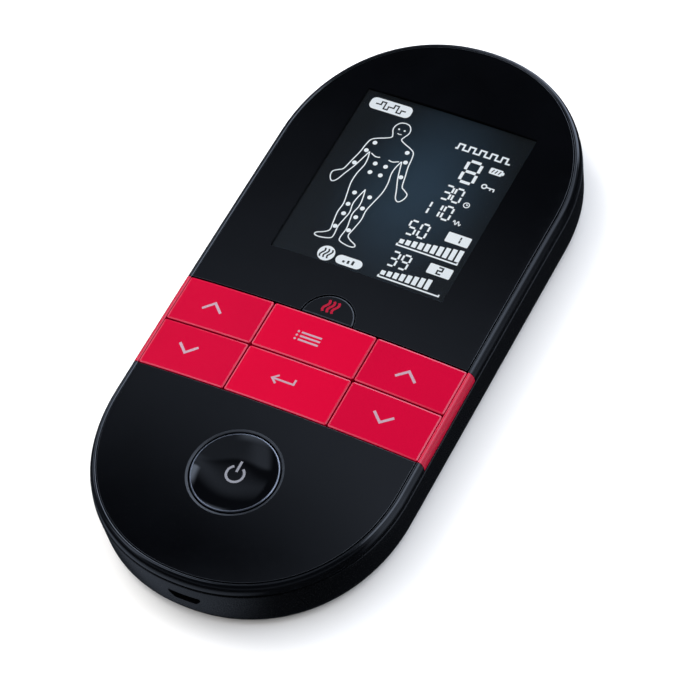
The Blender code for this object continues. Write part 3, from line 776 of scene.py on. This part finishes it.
def build_rear_shell():
    """The rear casing: a filleted tub with mouths for the sockets and wells for the screws."""
    run = whole_edge()
    top = RIM_DROP + GAP
    sections = [
        section_ring(run, RIM_WIDTH - WALL - 1.2, z=FLOOR),
        section_ring(run, RIM_WIDTH - WALL, z=FLOOR + 1.2),
        section_ring(run, RIM_WIDTH - WALL, top),
        section_ring(run, RIM_WIDTH - 0.50, top),
        section_ring(run, RIM_WIDTH - 0.14, top + 0.06),
        section_ring(run, RIM_WIDTH - 0.04, top + 0.16),
        section_ring(run, RIM_WIDTH, top + 0.36),
    ]
    for turn in np.linspace(math.pi / 2.0, 0.0, 9):
        offset = RIM_WIDTH - REAR_DRAFT - REAR_FILLET * (1.0 - math.sin(turn))
        sections.append(section_ring(run, offset, z=REAR_FILLET * (1.0 - math.cos(turn))))
    satin = [MATERIALS["satin_black"]]
    shell = piece("rear_shell", lofted(sections), "case", satin, ["rear_casing"])
    mouth = WELL_RADIUS + 0.25
    well = ((WELL_RADIUS, WELL_DEPTH), (WELL_RADIUS, 0.25), (mouth, 0.0), (mouth, -1.0))
    cutters = [revolved(centre, well) for centre in SCREWS]
    for side in (-1, 1):
        levels = ((OUTLET_RADIUS + 0.15, 80.0), (OUTLET_RADIUS + 0.15, 60.0))
        cutters.append(moved(lying(revolved((0.0, 0.0), levels)), side * OUTLET_X, 0.0, OUTLET_Z))
    cutters.append(port_mouth(-75.0, -60.0))
    cutters.append(prism([rounded_rectangle(-17.3, 17.3, -16.3, 10.3, 1.8, 6.0)], -1.0, 0.5))
    cut(shell, cutters)


def port_mouth(front, back):
    """A flat mouth, wider along the top than along the bottom, with rounded corners."""
    half = USB_WIDTH / 2.0
    high = USB_HEIGHT / 2.0
    right = [(half, high - 1.0), (half, high)]
    left = [(-half, high), (-half, high - 1.0)]
    corners = np.array([*right, *left, (-half + 1.1, -high), (half - 1.1, -high)])
    plan = []
    for before, corner, after in zip(np.roll(corners, 1, 0), corners, np.roll(corners, -1, 0)):
        for t in (0.0, 0.5, 1.0):
            a = corner + 0.3 * unit(before - corner)
            b = corner + 0.3 * unit(after - corner)
            plan.append((1 - t) ** 2 * a + 2 * t * (1 - t) * corner + t**2 * b)
    plan = np.array(plan)
    x, z = USB_X + plan[:, 0], USB_Z + plan[:, 1]
    return lofted([np.column_stack([x, np.full(len(plan), y), z]) for y in (front, back)])


def rim_profile(start):
    """The rim's section from its inner foot over the top to its lower edge, as (offset, drop)."""
    crest = start + 0.29
    profile = [(start, RIM_DROP), (start, 0.30), (start + 0.06, 0.13), (start + 0.17, 0.04), (crest, 0.0)]
    for turn in np.linspace(0.0, math.pi / 2.0, 13)[1:]:
        across = crest + (RIM_LOWER - crest) * math.sin(turn)
        profile.append((across, (RIM_DROP - 0.2) * (1.0 - math.cos(turn))))
    return profile + [(RIM_LOWER - 0.05, RIM_DROP - 0.06), (RIM_LOWER - 0.2, RIM_DROP)]


def rim_length(run, start):
    """A length of the rim, from one cut end to the other."""
    sections = []
    profile = rim_profile(start)
    for x, y, nx, ny in run:
        top = crown(np.array([(x, y)]))[0]
        sections.append([(x + nx * across, y + ny * across, top - drop) for across, drop in profile])
    shell = lofted(sections)
    sides = len(profile)
    for number in range(sides * (len(run) - 1)):
        shell.slots[number] = int(number % sides in RIM_BEVEL)
    return shell


def build_front_shell():
    """The rim round the panels, in two lengths, and the plate that carries them."""
    upper = rim_length(edge_run(BAND_TOP), RIM_START)
    lower = rim_length(turned(edge_run(-BAND_BOTTOM)), RIM_START)
    plan = offset_run(whole_edge(), PLATE_EDGE)
    holes = [circle(centre, STEM_HOLE, 24)[::-1] for centre in stem_centres().values()]
    window = module_plan(GAP)[::-1]
    plate_shell = prism([plan, window, *holes], PLATE_BOTTOM, PLATE_TOP)
    shell = joined(upper, lower, plate_shell)
    materials = [MATERIALS["rim_black"], MATERIALS["rim_edge"]]
    piece("front_shell", shell, "case", materials, ["front_casing"])


def build_trims():
    """The red lengths of the rim on both sides of the keys."""
    low = BAND_BOTTOM + GAP / 2.0
    high = BAND_TOP - GAP / 2.0
    steps = np.linspace(low, high, 13)
    runs = {
        "right_trim": np.array([(EDGE, y, 1.0, 0.0) for y in steps]),
        "left_trim": np.array([(-EDGE, y, -1.0, 0.0) for y in steps[::-1]]),
    }
    materials = [MATERIALS["trim_red"], MATERIALS["key_red_edge"]]
    for name, run in runs.items():
        stood_for = name.replace("_trim", "_rim_trim")
        piece(name, rim_length(run, TRIM_START), "case", materials, [stood_for])


# ---------------------------------------------------------------- panels


def module_plan(margin):
    reach = MODULE_MARGIN + margin
    across = DISPLAY_HALF_WIDTH + reach
    return rectangle(-across, across, DISPLAY_LOW - reach, DISPLAY_HIGH - 0.3 + reach)


def build_display_panel():
    """The upper panel: black gloss, a clear window, a pocket for the display, a notch for the heat key."""
    low = BAND_TOP + GAP / 2.0
    edge = offset_run(edge_run(low), PANEL_EDGE)
    start = math.degrees(math.asin((low - BAND_TOP) / HEAT_RADIUS))
    notch = arc_line(HEAT_CENTRE, HEAT_RADIUS, 180.0 - start, start, 40)
    left = np.linspace(edge[-1], notch[0], 12)[1:-1]
    right = np.linspace(notch[-1], edge[0], 12)[1:-1]
    loop = np.vstack([edge, left, notch, right])
    window = rectangle(-DISPLAY_HALF_WIDTH, DISPLAY_HALF_WIDTH, DISPLAY_LOW, DISPLAY_HIGH)
    shell = Shell()
    bevels = [PANEL_BEVEL]
    bottoms = plate(shell, [loop], crown, crown_normal, bevels, PANEL_UNDERSIDE, PANEL_SPACING, window, 2)
    plan = module_plan(GAP)
    outer = shell.ring(with_z(plan, PANEL_UNDERSIDE))
    ceiling = shell.ring(with_z(plan, POCKET_TOP))
    fill(shell, [*bottoms, outer], level(PANEL_UNDERSIDE), upright(-1.0), facing=-1)
    _, outward = inset(plan, 0.0)
    inward = with_z(-outward, 0.0)
    shell.band(outer, ceiling, inward, inward)
    fill(shell, [ceiling], level(POCKET_TOP), upright(-1.0), facing=-1, window=window)
    materials = [MATERIALS["gloss_black"], MATERIALS["clear_window"], MATERIALS["panel_edge"]]
    piece("display_panel", shell, "case", materials, ["display_lens"])


def build_foot_panel():
    """The lower panel, with the opening for the power button."""
    edge = offset_run(turned(edge_run(-BAND_BOTTOM + GAP / 2.0)), PANEL_EDGE)
    top = np.linspace(edge[-1], edge[0], 26)[1:-1]
    opening = circle(POWER_CENTRE, POWER_RADIUS + GAP, 96)[::-1]
    shell = Shell()
    loops = [np.vstack([edge, top]), opening]
    bevels = [PANEL_BEVEL, OPENING_BEVEL]
    bottoms = plate(shell, loops, crown, crown_normal, bevels, PANEL_UNDERSIDE, PANEL_SPACING, edge_slot=1)
    fill(shell, bottoms, level(PANEL_UNDERSIDE), upright(-1.0), facing=-1)
    materials = [MATERIALS["gloss_black"], MATERIALS["panel_edge"]]
    piece("foot_panel", shell, "case", materials, ["lower_panel"])


# ---------------------------------------------------------------- buttons


def key_areas():
    """Plan limits of the six red keys: x0, x1, y0, y1."""
    half = GAP / 2.0
    edge = EDGE - half / 2.0
    columns = {
        "channel_1": (-edge, -COLUMN - half),
        "middle": (-COLUMN + half, COLUMN - half),
        "channel_2": (COLUMN + half, edge),
    }
    upper = (BAND_MIDDLE + half, BAND_TOP - half)
    lower = (BAND_BOTTOM + half, BAND_MIDDLE - half)
    return {
        "channel_1_up": columns["channel_1"] + upper,
        "channel_1_down": columns["channel_1"] + lower,
        "menu": columns["middle"] + upper,
        "enter": columns["middle"] + lower,
        "channel_2_up": columns["channel_2"] + upper,
        "channel_2_down": columns["channel_2"] + lower,
    }


def stem_centres():
    """The axis that each button slides on."""
    found = {}
    for name, (x0, x1, y0, y1) in key_areas().items():
        found[name] = np.array(((x0 + x1) / 2.0, (y0 + y1) / 2.0))
    found["heat"] = HEAT_STEM
    found["power"] = POWER_CENTRE
    return found


def build_red_keys():
    for name, (x0, x1, y0, y1) in key_areas().items():
        shell = Shell()
        loop = rounded_rectangle(x0, x1, y0, y1, KEY_CORNER, 2.5)
        bottoms = plate(
            shell, [loop], crown, crown_normal, [KEY_BEVEL], BUTTON_UNDERSIDE, KEY_SPACING, edge_slot=1
        )
        stem(shell, bottoms, stem_centres()[name])
        finish_name = "key_red" if abs(x0 + x1) < 1.0 else "key_red_outer"
        materials = [MATERIALS[finish_name], MATERIALS["key_red_edge"]]
        piece(f"{name}_cap", shell, name, materials, [f"{name}_key"])


def heat_height(plan):
    """The heat key lies a hair low, which keeps its printed waves below the top of the dome."""
    return crown(plan) - HEAT_SINK


def build_heat_key():
    """The half disc that rises above the red band."""
    low = BAND_TOP + GAP / 2.0
    radius = HEAT_RADIUS - GAP
    start = math.degrees(math.asin((low - BAND_TOP) / radius))
    arc = arc_line(HEAT_CENTRE, radius, start, 180.0 - start, 48)
    base = np.linspace(arc[-1], arc[0], 8)[1:-1]
    shell = Shell()
    loops = [np.vstack([arc, base])]
    bottoms = plate(
        shell, loops, heat_height, crown_normal, [HEAT_BEVEL], BUTTON_UNDERSIDE, HEAT_SPACING, edge_slot=1
    )
    stem(shell, bottoms, HEAT_STEM)
    materials = [MATERIALS["gloss_black"], MATERIALS["panel_edge"]]
    piece("heat_cap", shell, "heat", materials, ["heat_key"])


def dish(reach):
    """How far the power button's top lies below the dome at this distance from its centre, and its slope."""
    brim = POWER_RADIUS - POWER_RING
    share = reach / brim
    return POWER_DISH * np.maximum(1.0 - share**3, 0.0), 3.0 * POWER_DISH * share**2 / brim


def dish_height(plan):
    return crown(plan) - dish(np.hypot(*(plan - POWER_CENTRE).T))[0]


def build_power_button():
    """A round button with a shallow dish for the finger inside a bright rounded edge."""
    steps = 96
    inner = POWER_RADIUS - POWER_RING
    shell = Shell()
    rings = []
    outward = circle((0.0, 0.0), 1.0, steps)
    for reach in np.linspace(0.3, inner, 18):
        plan = circle(POWER_CENTRE, reach, steps)
        slopes = plan * np.array((2.0 * CROWN_FALL_X, 2.0 * CROWN_FALL_Y)) - outward * dish(reach)[1]
        rings.append((plan, crown(plan) - dish(reach)[0], unit(with_z(slopes, 1.0))))
    dished = len(rings)
    start = -0.35
    for turn in np.linspace(start, math.pi / 2.0, 9):
        across = (math.sin(turn) - math.sin(start)) / (1.0 - math.sin(start))
        plan = circle(POWER_CENTRE, inner + POWER_RING * across, steps)
        normals = unit(math.cos(turn) * crown_normal(plan) + math.sin(turn) * with_z(outward, 0.0))
        rings.append((plan, crown(plan) - 0.3 * (1.0 - math.cos(turn)), normals))
    numbers = [shell.ring(with_z(plan, z)) for plan, z, _ in rings]
    shell.face(numbers[0], rings[0][2])
    for step in range(len(rings) - 1):
        slot = 1 if step >= dished else 0
        shell.band(numbers[step], numbers[step + 1], rings[step][2], rings[step + 1][2], slot)
    foot = shell.ring(with_z(rings[-1][0], BUTTON_UNDERSIDE))
    sideways = with_z(outward, 0.0)
    shell.band(numbers[-1], foot, sideways, sideways)
    stem(shell, [foot], POWER_CENTRE)
    materials = [MATERIALS["gloss_black"], MATERIALS["button_ring"]]
    piece("power_cap", shell, "power", materials, ["power_button"])


def build_legends():
    """The printed marks on the keys."""
    chevrons = {
        "channel_1_up": ((-25.1, -12.3), (-22.95, -10.35), (-20.8, -12.3)),
        "channel_1_down": ((-25.15, -21.3), (-23.05, -23.2), (-20.9, -21.25)),
        "channel_2_up": ((18.7, -12.5), (20.85, -10.55), (23.0, -12.5)),
        "channel_2_down": ((18.65, -21.4), (20.75, -23.3), (22.95, -21.35)),
    }
    for name, line in chevrons.items():
        add_legend(name, [stroke_shell(line, 0.56, crown)], "legend")
    bars = []
    for y in (-10.5, -11.4, -12.3):
        bars.append(mark_shell(circle((-3.7, y), 0.26, 12), crown))
        bars.append(stroke_shell(((-3.0, y), (1.5, y)), 0.42, crown))
    add_legend("menu", bars, "legend")
    arrow = [stroke_shell(((1.3, -21.1), (1.3, -22.3), (-3.4, -22.3)), 0.42, crown)]
    arrow.append(stroke_shell(((-2.3, -21.3), (-3.5, -22.3), (-2.3, -23.3)), 0.42, crown))
    add_legend("enter", arrow, "legend")
    waves = [stroke_shell(line, 0.55, heat_height) for line in wave_lines((-0.45, -2.9), 2.9)]
    add_legend("heat", waves, "heat_legend")
    ring = stroke_shell(arc_line(POWER_CENTRE, 1.8, 123.0, 417.0, 40), 0.5, dish_height)
    bar = stroke_shell(POWER_CENTRE + np.array([(0.0, 0.5), (0.0, 1.8), (0.0, 3.0)]), 0.5, dish_height)
    add_legend("power", [ring, bar], "power_legend")


def add_legend(name, shells, finish_name):
    piece(f"{name}_mark", joined(*shells), name, [MATERIALS[finish_name]])


# ---------------------------------------------------------------- display


screen_level = level(SCREEN_TOP)


def build_screen():
    """The glass of the display, lit from behind."""
    reach = MODULE_MARGIN - 0.8 - GAP
    across = DISPLAY_HALF_WIDTH + reach
    plan = rounded_rectangle(-across, across, DISPLAY_LOW - reach, DISPLAY_HIGH - 0.3 + reach, 0.4, 5.0, 3)
    shell = Shell()
    bottoms = plate(shell, [plan], screen_level, upright(1.0), [0.06], SCREEN_BOTTOM, 4.0)
    fill(shell, bottoms, level(SCREEN_BOTTOM), upright(-1.0), facing=-1)
    piece("screen", shell, "case", [MATERIALS["screen"]], ["display_glass"])


FIGURE_AXIS = -8.2
FIGURE_OUTER = (
    (0.0, 45.6), (1.05, 45.3), (1.75, 44.3), (1.8, 43.2), (1.35, 42.2), (1.15, 41.3), (2.3, 40.6),
    (3.7, 40.0), (4.9, 39.2), (5.35, 37.6), (5.6, 35.4), (6.15, 33.0), (6.75, 30.4), (7.6, 29.7),
    (8.6, 28.9), (8.5, 27.6),
    (7.7, 26.6), (6.8, 27.2), (6.0, 29.3), (5.0, 31.8), (4.35, 34.0), (3.75, 36.2),
)
FIGURE_SIDE = (
    (3.7, 36.2), (3.25, 34.4), (3.15, 32.6), (3.6, 30.2), (3.65, 27.6), (3.1, 24.8), (2.6, 22.2),
    (2.75, 19.8), (2.35, 17.0), (2.1, 15.2), (3.0, 14.3), (4.4, 13.6), (4.5, 13.0), (3.3, 12.8),
    (1.2, 13.3), (0.75, 14.2),
    (0.95, 16.6), (0.6, 18.8), (0.35, 20.6), (0.75, 22.8), (0.5, 24.9), (0.0, 27.0),
)
FIGURE_DOTS = (
    (3.75, 38.7), (4.55, 36.3), (5.4, 32.5), (1.2, 33.8), (1.2, 31.4), (1.75, 25.5), (1.65, 22.4),
    (1.4, 19.9), (1.55, 16.4),
)


def box_mark(x0, x1, y0, y1, radius=0.25):
    return mark_shell(rounded_rectangle(x0, x1, y0, y1, radius, 9.0, 4), screen_level, MARK_LIFT, MARK_LIFT)


def disc_mark(centre, radius, steps):
    return mark_shell(circle(centre, radius, steps), screen_level, MARK_LIFT, MARK_LIFT)


def ring_mark(centre, radius, width):
    return stroke_shell(circle(centre, radius, 20), width, screen_level, MARK_LIFT, MARK_LIFT, True)


def lines_on_screen(lines, width):
    return [stroke_shell(line, width, screen_level, MARK_LIFT, MARK_LIFT) for line in lines]


def lines_on_mark(lines, width):
    """Dark strokes that lie on a lit mark."""
    return [stroke_shell(line, width, screen_level, DARK_LIFT, MARK_LIFT, slot=1) for line in lines]


def figure_marks():
    """A plain outline of a standing person with the places for the electrodes."""
    lines = [smooth_line(FIGURE_OUTER, 5), smooth_line(FIGURE_SIDE, 5)]
    lines.append(smooth_line(((1.0, 35.6), (2.0, 35.45), (3.2, 36.0)), 4))
    middle = np.array((FIGURE_AXIS, 0.0))
    shells = []
    for side in (-1.0, 1.0):
        mirror = np.array((side, 1.0))
        shells += lines_on_screen([line * mirror + middle for line in lines], 0.24)
        shells += [disc_mark(np.array(dot) * mirror + middle, 0.5, 16) for dot in FIGURE_DOTS]
        shells.append(disc_mark(np.array((0.65, 43.7)) * mirror + middle, 0.22, 16))
    mouth = np.array(((-0.5, 42.6), (0.0, 42.5), (0.5, 42.6))) + middle
    return shells + lines_on_screen([mouth], 0.2)


def number_marks(text, x, y, width, tall, stroke, pitch):
    """A number in seven-segment digits. Every digit has its own place, lit or not."""
    shells = []
    for place, digit in enumerate(text):
        lit = digit_lines(digit, x + place * pitch, y, width, tall, stroke * 0.55)
        shells += lines_on_screen(lit, stroke)
    return shells


def channel_marks(number, low, bars):
    """One channel's level: its digits, a tag with the channel's number, and the bars over their base line."""
    digits = {1: "50", 2: "39"}[number]
    shells = number_marks(digits, 4.35, low + 3.55, 1.65, 3.5, 0.42, 2.5)
    shells.append(box_mark(12.6, 17.75, low + 4.75, low + 7.25))
    area = (14.7, low + 5.2, 0.95, 1.6)
    shells += lines_on_mark(two_lines(*area) if number == 2 else digit_lines("1", *area, 0.05), 0.34)
    for bar in range(bars):
        x = 4.2 + 1.39 * bar
        shells.append(box_mark(x, x + 0.98, low + 0.9, low + 1.95 + 0.215 * bar, 0.05))
    base = ((4.1, low + 0.75), (4.1, low + 0.3), (17.6, low + 0.3), (17.6, low + 0.75))
    return shells + lines_on_screen([base], 0.34)


def two_lines(x, y, width, tall):
    """The digit 2 as one bent line."""
    top, middle = y + tall, y + tall / 2
    right = x + width
    return [((x, top), (right, top), (right, middle), (x, middle), (x, y), (right, y))]


def status_marks():
    """The battery, the key lock, the clock beside the minutes and the wave beside the frequency."""
    shells = [box_mark(13.4, 16.2, 40.15, 41.7), box_mark(16.2, 16.6, 40.55, 41.3, 0.1)]
    shells += lines_on_mark([((x, 40.5), (x + 0.35, 41.35)) for x in (13.95, 14.7, 15.45)], 0.24)
    shells.append(ring_mark((14.15, 36.7), 0.5, 0.28))
    key = [((14.7, 36.65), (16.4, 36.65), (16.4, 36.0)), ((15.6, 36.65), (15.6, 36.1))]
    shells += lines_on_screen(key, 0.26)
    shells.append(ring_mark((12.9, 31.0), 0.62, 0.2))
    shells += lines_on_screen([((12.9, 31.4), (12.9, 31.0), (13.25, 31.0))], 0.17)
    wave = np.linspace(0.0, 1.0, 17)
    line = np.column_stack([12.2 + 1.7 * wave, 26.2 + 0.45 * np.sin(wave * 4.0 * math.pi)])
    return shells + lines_on_screen([line], 0.22)


def mode_marks():
    """The mode's tag, the heat sign and its level below the figure, and the train of pulses on the right."""
    shells = [box_mark(-17.9, -8.3, 46.8, 49.85, 1.15)]
    pulse = [(-16.6, 48.3)]
    for x in (-15.4, -12.4):
        pulse += [(x, 48.3), (x, 49.15), (x + 0.9, 49.15)]
        pulse += [(x + 0.9, 47.45), (x + 1.8, 47.45), (x + 1.8, 48.3)]
    pulse.append((-9.6, 48.3))
    shells += lines_on_mark([pulse], 0.32)
    train = [(4.2, 43.6)]
    for step in range(5):
        x = 4.2 + 2.45 * step
        train += [(x + 0.5, 43.6), (x + 0.5, 44.9), (x + 1.7, 44.9), (x + 1.7, 43.6)]
    train.append((16.6, 43.6))
    shells += lines_on_screen([train], 0.38)
    heat_sign = (-8.25, 9.6)
    shells.append(disc_mark(heat_sign, 1.85, 40))
    shells += lines_on_mark(wave_lines(heat_sign, 2.3), 0.36)
    shells.append(box_mark(-5.85, 0.05, 8.15, 10.4, 1.1))
    steps = [(-4.0 + step, 9.25 + 0.27 * step) for step in range(3)]
    return shells + lines_on_mark([((x, 8.75), (x, top)) for x, top in steps], 0.5)


def build_graphics():
    """Everything that the display shows, as thin shapes on its glass."""
    shells = figure_marks() + mode_marks() + status_marks()
    shells += number_marks("8", 8.55, 36.15, 2.95, 5.5, 0.68, 4.0)
    shells += number_marks("30", 7.0, 30.75, 1.7, 3.5, 0.42, 2.35)
    shells += number_marks("110", 4.4, 26.0, 1.7, 3.4, 0.42, 2.45)
    shells += channel_marks(1, 16.5, 10) + channel_marks(2, 8.1, 8)
    materials = [MATERIALS["screen_white"], MATERIALS["screen_dark"]]
    piece("screen_graphics", joined(*shells), "case", materials)


# ---------------------------------------------------------------- sockets, screws and label


def build_outlets():
    """Round electrode outlets: a collar through the wall on a block that stands on the board."""
    for number, side in ((1, -1), (2, 1)):
        x = side * OUTLET_X
        profile = [(OUTLET_BORE, 57.0), (OUTLET_BORE, 67.35)]
        profile += [(OUTLET_BORE + 0.1, 67.53), (OUTLET_BORE + 0.25, 67.6)]
        profile += [(OUTLET_RADIUS - 0.3, 67.6), (OUTLET_RADIUS - 0.09, 67.51)]
        profile += [(OUTLET_RADIUS, 67.3), (OUTLET_RADIUS, 62.0)]
        collar = moved(lying(revolved((0.0, 0.0), profile)), x, 0.0, OUTLET_Z)
        block = prism([rounded_rectangle(x - 3.6, x + 3.6, 55.2, 63.6, 0.4)], OUTLET_Z - 3.5, OUTLET_Z + 2.7)
        shell = joined(collar, block)
        stood_for = [f"output_socket_{number}"]
        piece(f"outlet_{number}", shell, "case", [MATERIALS["chip_black"]], stood_for)


def build_port_contacts():
    """Five contact strips on the tongue of the charging port."""
    strips = []
    for place in range(5):
        x = USB_X + 0.65 * (place - 2)
        plan = rounded_rectangle(x - 0.17, x + 0.17, -66.2, -62.4, 0.06)
        strips.append(prism([plan], USB_Z + 0.06, USB_Z + 0.1))
    piece("port_contacts", joined(*strips), "case", [MATERIALS["gold_contact"]])


def build_screws():
    """Countersunk machine screws with a cross recess."""
    profile = [(0.85, 9.4), (0.85, 2.5), (1.2, 2.2), (1.75, 1.9)]
    profile += [(2.0, 1.7), (2.0, 1.35), (1.85, 1.05), (1.45, 0.92)]
    steel = [MATERIALS["tinned_steel"]]
    for number, centre in enumerate(SCREWS, 1):
        body = revolved(centre, profile, 40)
        screw = piece(f"screw_{number}", body, "case", steel, [f"case_screw_{number}"])
        arms = []
        for turn in (0.35, 0.35 + math.pi / 2.0):
            ahead = np.array((math.cos(turn), math.sin(turn))) * 1.1
            aside = np.array((-math.sin(turn), math.cos(turn))) * 0.24
            near, far = centre - ahead, centre + ahead
            plan = np.array([near - aside, far - aside, far + aside, near + aside])
            arms.append(lofted([with_z(centre + (plan - centre) * 0.6, 1.6), with_z(plan, 0.5)]))
        cut(screw, arms)


def build_label():
    """A blank rating plate with a raised border."""
    outer = rounded_rectangle(-17.0, 17.0, -16.0, 10.0, 1.5, 4.0)
    base = prism([outer], 0.16, 0.35)
    border = prism([outer, inset(outer, 0.5)[0][::-1]], 0.1, 0.16)
    grey = [MATERIALS["label_grey"]]
    piece("blank_label", joined(base, border), "case", grey, ["rating_label"])


NODE_FINISHES = {
    "chip_black": ("display_frame", "charging_port_tongue", "controller_chip", "charger_chip", "sounder"),
    "white_plastic": ("backlight_guide", "battery_connector"),
    "foam_grey": ("display_contact_strip", "battery_pad"),
    "board_green": ("main_board",),
    "cell_foil": ("battery_cell", "storage_capacitor"),
    "ferrite": ("output_transformer_1", "output_transformer_2"),
    "tinned_steel": ("charging_port_shell",),
    "gold_contact": ("output_contact_1", "output_contact_2"),
    "wire_red": ("battery_lead_positive",),
    "wire_black": ("battery_lead_negative",),
}


def dress_nodes():
    """Gives every CAD node that stays its patterned material."""
    chosen = {node: finish_name for finish_name, nodes in NODE_FINISHES.items() for node in nodes}
    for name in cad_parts:
        if name.endswith("_switch"):
            chosen[name] = "tinned_steel"
        if name.endswith("_plunger"):
            chosen[name] = "chip_black"
    for name, finish_name in chosen.items():
        for material_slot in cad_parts[name].material_slots:
            material_slot.material = MATERIALS[finish_name]


# ---------------------------------------------------------------- stage


def build_floor():
    """A pale sheet just under the case."""
    half, low = 3.0, -0.0002
    corners = [(-half, -half, low), (half, -half, low), (half, half, low), (-half, half, low)]
    mesh = bpy.data.meshes.new("floor")
    mesh.from_pydata(corners, [], [(0, 1, 2, 3)])
    paper = (0.735, 0.716, 0.687)
    matt = finish("floor_paper", paper, 0.9, 0.03, 400.0, 0.0, 4.0, 0.01, specular_ior_level=0.0)
    mesh.materials.append(matt)
    floor = bpy.data.objects.new("floor", mesh)
    bpy.context.scene.collection.objects.link(floor)
    floor.visible_glossy = False


def add_light(name, place, size, power):
    """A soft light that points at the object. Reflections come from the sky alone."""
    data = bpy.data.lights.new(name, "AREA")
    data.shape = "RECTANGLE"
    data.size, data.size_y = size
    data.energy = power
    lamp = bpy.data.objects.new(name, data)
    lamp.location = place
    lamp.rotation_euler = (-Vector(place)).to_track_quat("-Z", "Y").to_euler()
    lamp.visible_glossy = False
    lamp.visible_transmission = False
    bpy.context.scene.collection.objects.link(lamp)


def combined(tree, values, operation="ADD"):
    """One value from several, by a running sum or product."""
    total = values[0]
    for value in values[1:]:
        node = add_node(tree, "ShaderNodeMath", operation=operation)
        tree.links.new(total, node.inputs[0])
        tree.links.new(value, node.inputs[1])
        total = node.outputs["Value"]
    return total


def eased(tree, source, start, end, low=0.0, high=1.0):
    """A smooth change from low to high as the source goes from start to end."""
    limits = {"From Min": start, "From Max": end, "To Min": low, "To Max": high}
    node = add_node(tree, "ShaderNodeMapRange", limits, interpolation_type="SMOOTHSTEP")
    tree.links.new(source, node.inputs["Value"])
    return node.outputs["Result"]


def along(tree, direction):
    """How far the sky's direction leans along another one."""
    place = add_node(tree, "ShaderNodeTexCoord")
    dot = add_node(tree, "ShaderNodeVectorMath", operation="DOT_PRODUCT")
    dot.inputs[1].default_value = direction
    tree.links.new(place.outputs["Generated"], dot.inputs[0])
    return dot.outputs["Value"]


def sine(degrees):
    return math.sin(math.radians(degrees))


def soft_box(tree, across, upward, limits, edges, strength):
    """A soft-edged box of light between two angles across and two upwards from the middle of the sky."""
    sides = [eased(tree, along(tree, SKY_MIDDLE), 0.05, 0.3, 0.0, strength)]
    for place, limit, edge, facing in zip((across, across, upward, upward), limits, edges, (1, -1, 1, -1)):
        sides.append(eased(tree, place, sine(limit - edge * facing), sine(limit + edge * facing)))
    return combined(tree, sides, "MULTIPLY")


def build_sky():
    """A dim studio with a soft strip of light overhead and soft boxes round it."""
    world = bpy.data.worlds.new("studio")
    bpy.context.scene.world = world
    world.use_nodes = True
    tree = world.node_tree
    across = along(tree, SKY_ACROSS)
    upward = along(tree, SKY_UPWARD)
    tilted = along(tree, STRIP_ACROSS)
    strip = [
        eased(tree, tilted, sine(STRIP_PLACE + STRIP_FADE[0]), sine(STRIP_PLACE)),
        eased(tree, tilted, sine(STRIP_PLACE - STRIP_FADE[1]), sine(STRIP_PLACE)),
        eased(tree, across, -0.35, 0.35, 0.24, 0.50),
        eased(tree, across, sine(-15.5), sine(-12.5)),
        eased(tree, along(tree, SKY_MIDDLE), 0.80, 0.93),
    ]
    boxes = [soft_box(tree, across, upward, *box) for box in SOFT_BOXES]
    height = along(tree, (0.0, 0.0, 1.0))
    walls = [eased(tree, height, 0.45, 0.1, 0.018, 0.14), eased(tree, height, -0.10, 0.0, 0.15, 1.0)]
    east = along(tree, (1.0, 0.0, 0.0))
    north = along(tree, (0.0, 1.0, 0.0))
    side = [
        eased(tree, east, 0.35, 0.75, 0.0, 0.6),
        eased(tree, north, 0.56, 0.38),
        eased(tree, north, -0.1, 0.2),
        eased(tree, height, -0.75, -0.4),
    ]
    ground = [eased(tree, height, -0.35, -0.65), eased(tree, along(tree, GROUND_GLOW), 0.3, 0.6, 0.0, 0.3)]
    parts = [combined(tree, part, "MULTIPLY") for part in (strip, walls, side, ground)]
    light = combined(tree, parts + boxes)
    background = tree.nodes["Background"]
    tree.links.new(light, background.inputs["Strength"])
    background.inputs["Color"].default_value = (0.82, 0.95, 1.20, 1.0)


def build_camera():
    """The photo's viewpoint, with its place in metres and its turns in radians."""
    data = bpy.data.cameras.new("camera")
    data.lens = 155.62
    data.sensor_width = 36.0
    data.clip_start, data.clip_end = 0.02, 20.0
    camera = bpy.data.objects.new("camera", data)
    camera.location = (0.221136, -0.284646, 0.497467)
    camera.rotation_euler = (0.61125, 0.13197, 0.47588)
    bpy.context.scene.collection.objects.link(camera)
    bpy.context.scene.camera = camera


build_camera()
bpy.context.scene.view_settings.view_transform = "Standard"
build_sky()
add_light("ceiling_light", (0.0, 0.0, 1.2), (3.0, 3.0), 48.0)
add_light("key_light", (-0.95, 0.35, 1.1), (0.9, 0.9), 18.0)
build_floor()
build_rear_shell()
build_front_shell()
build_trims()
build_display_panel()
build_foot_panel()
build_red_keys()
build_heat_key()
build_power_button()
build_legends()
build_screen()
build_graphics()
build_outlets()
build_port_contacts()
build_screws()
build_label()
dress_nodes()
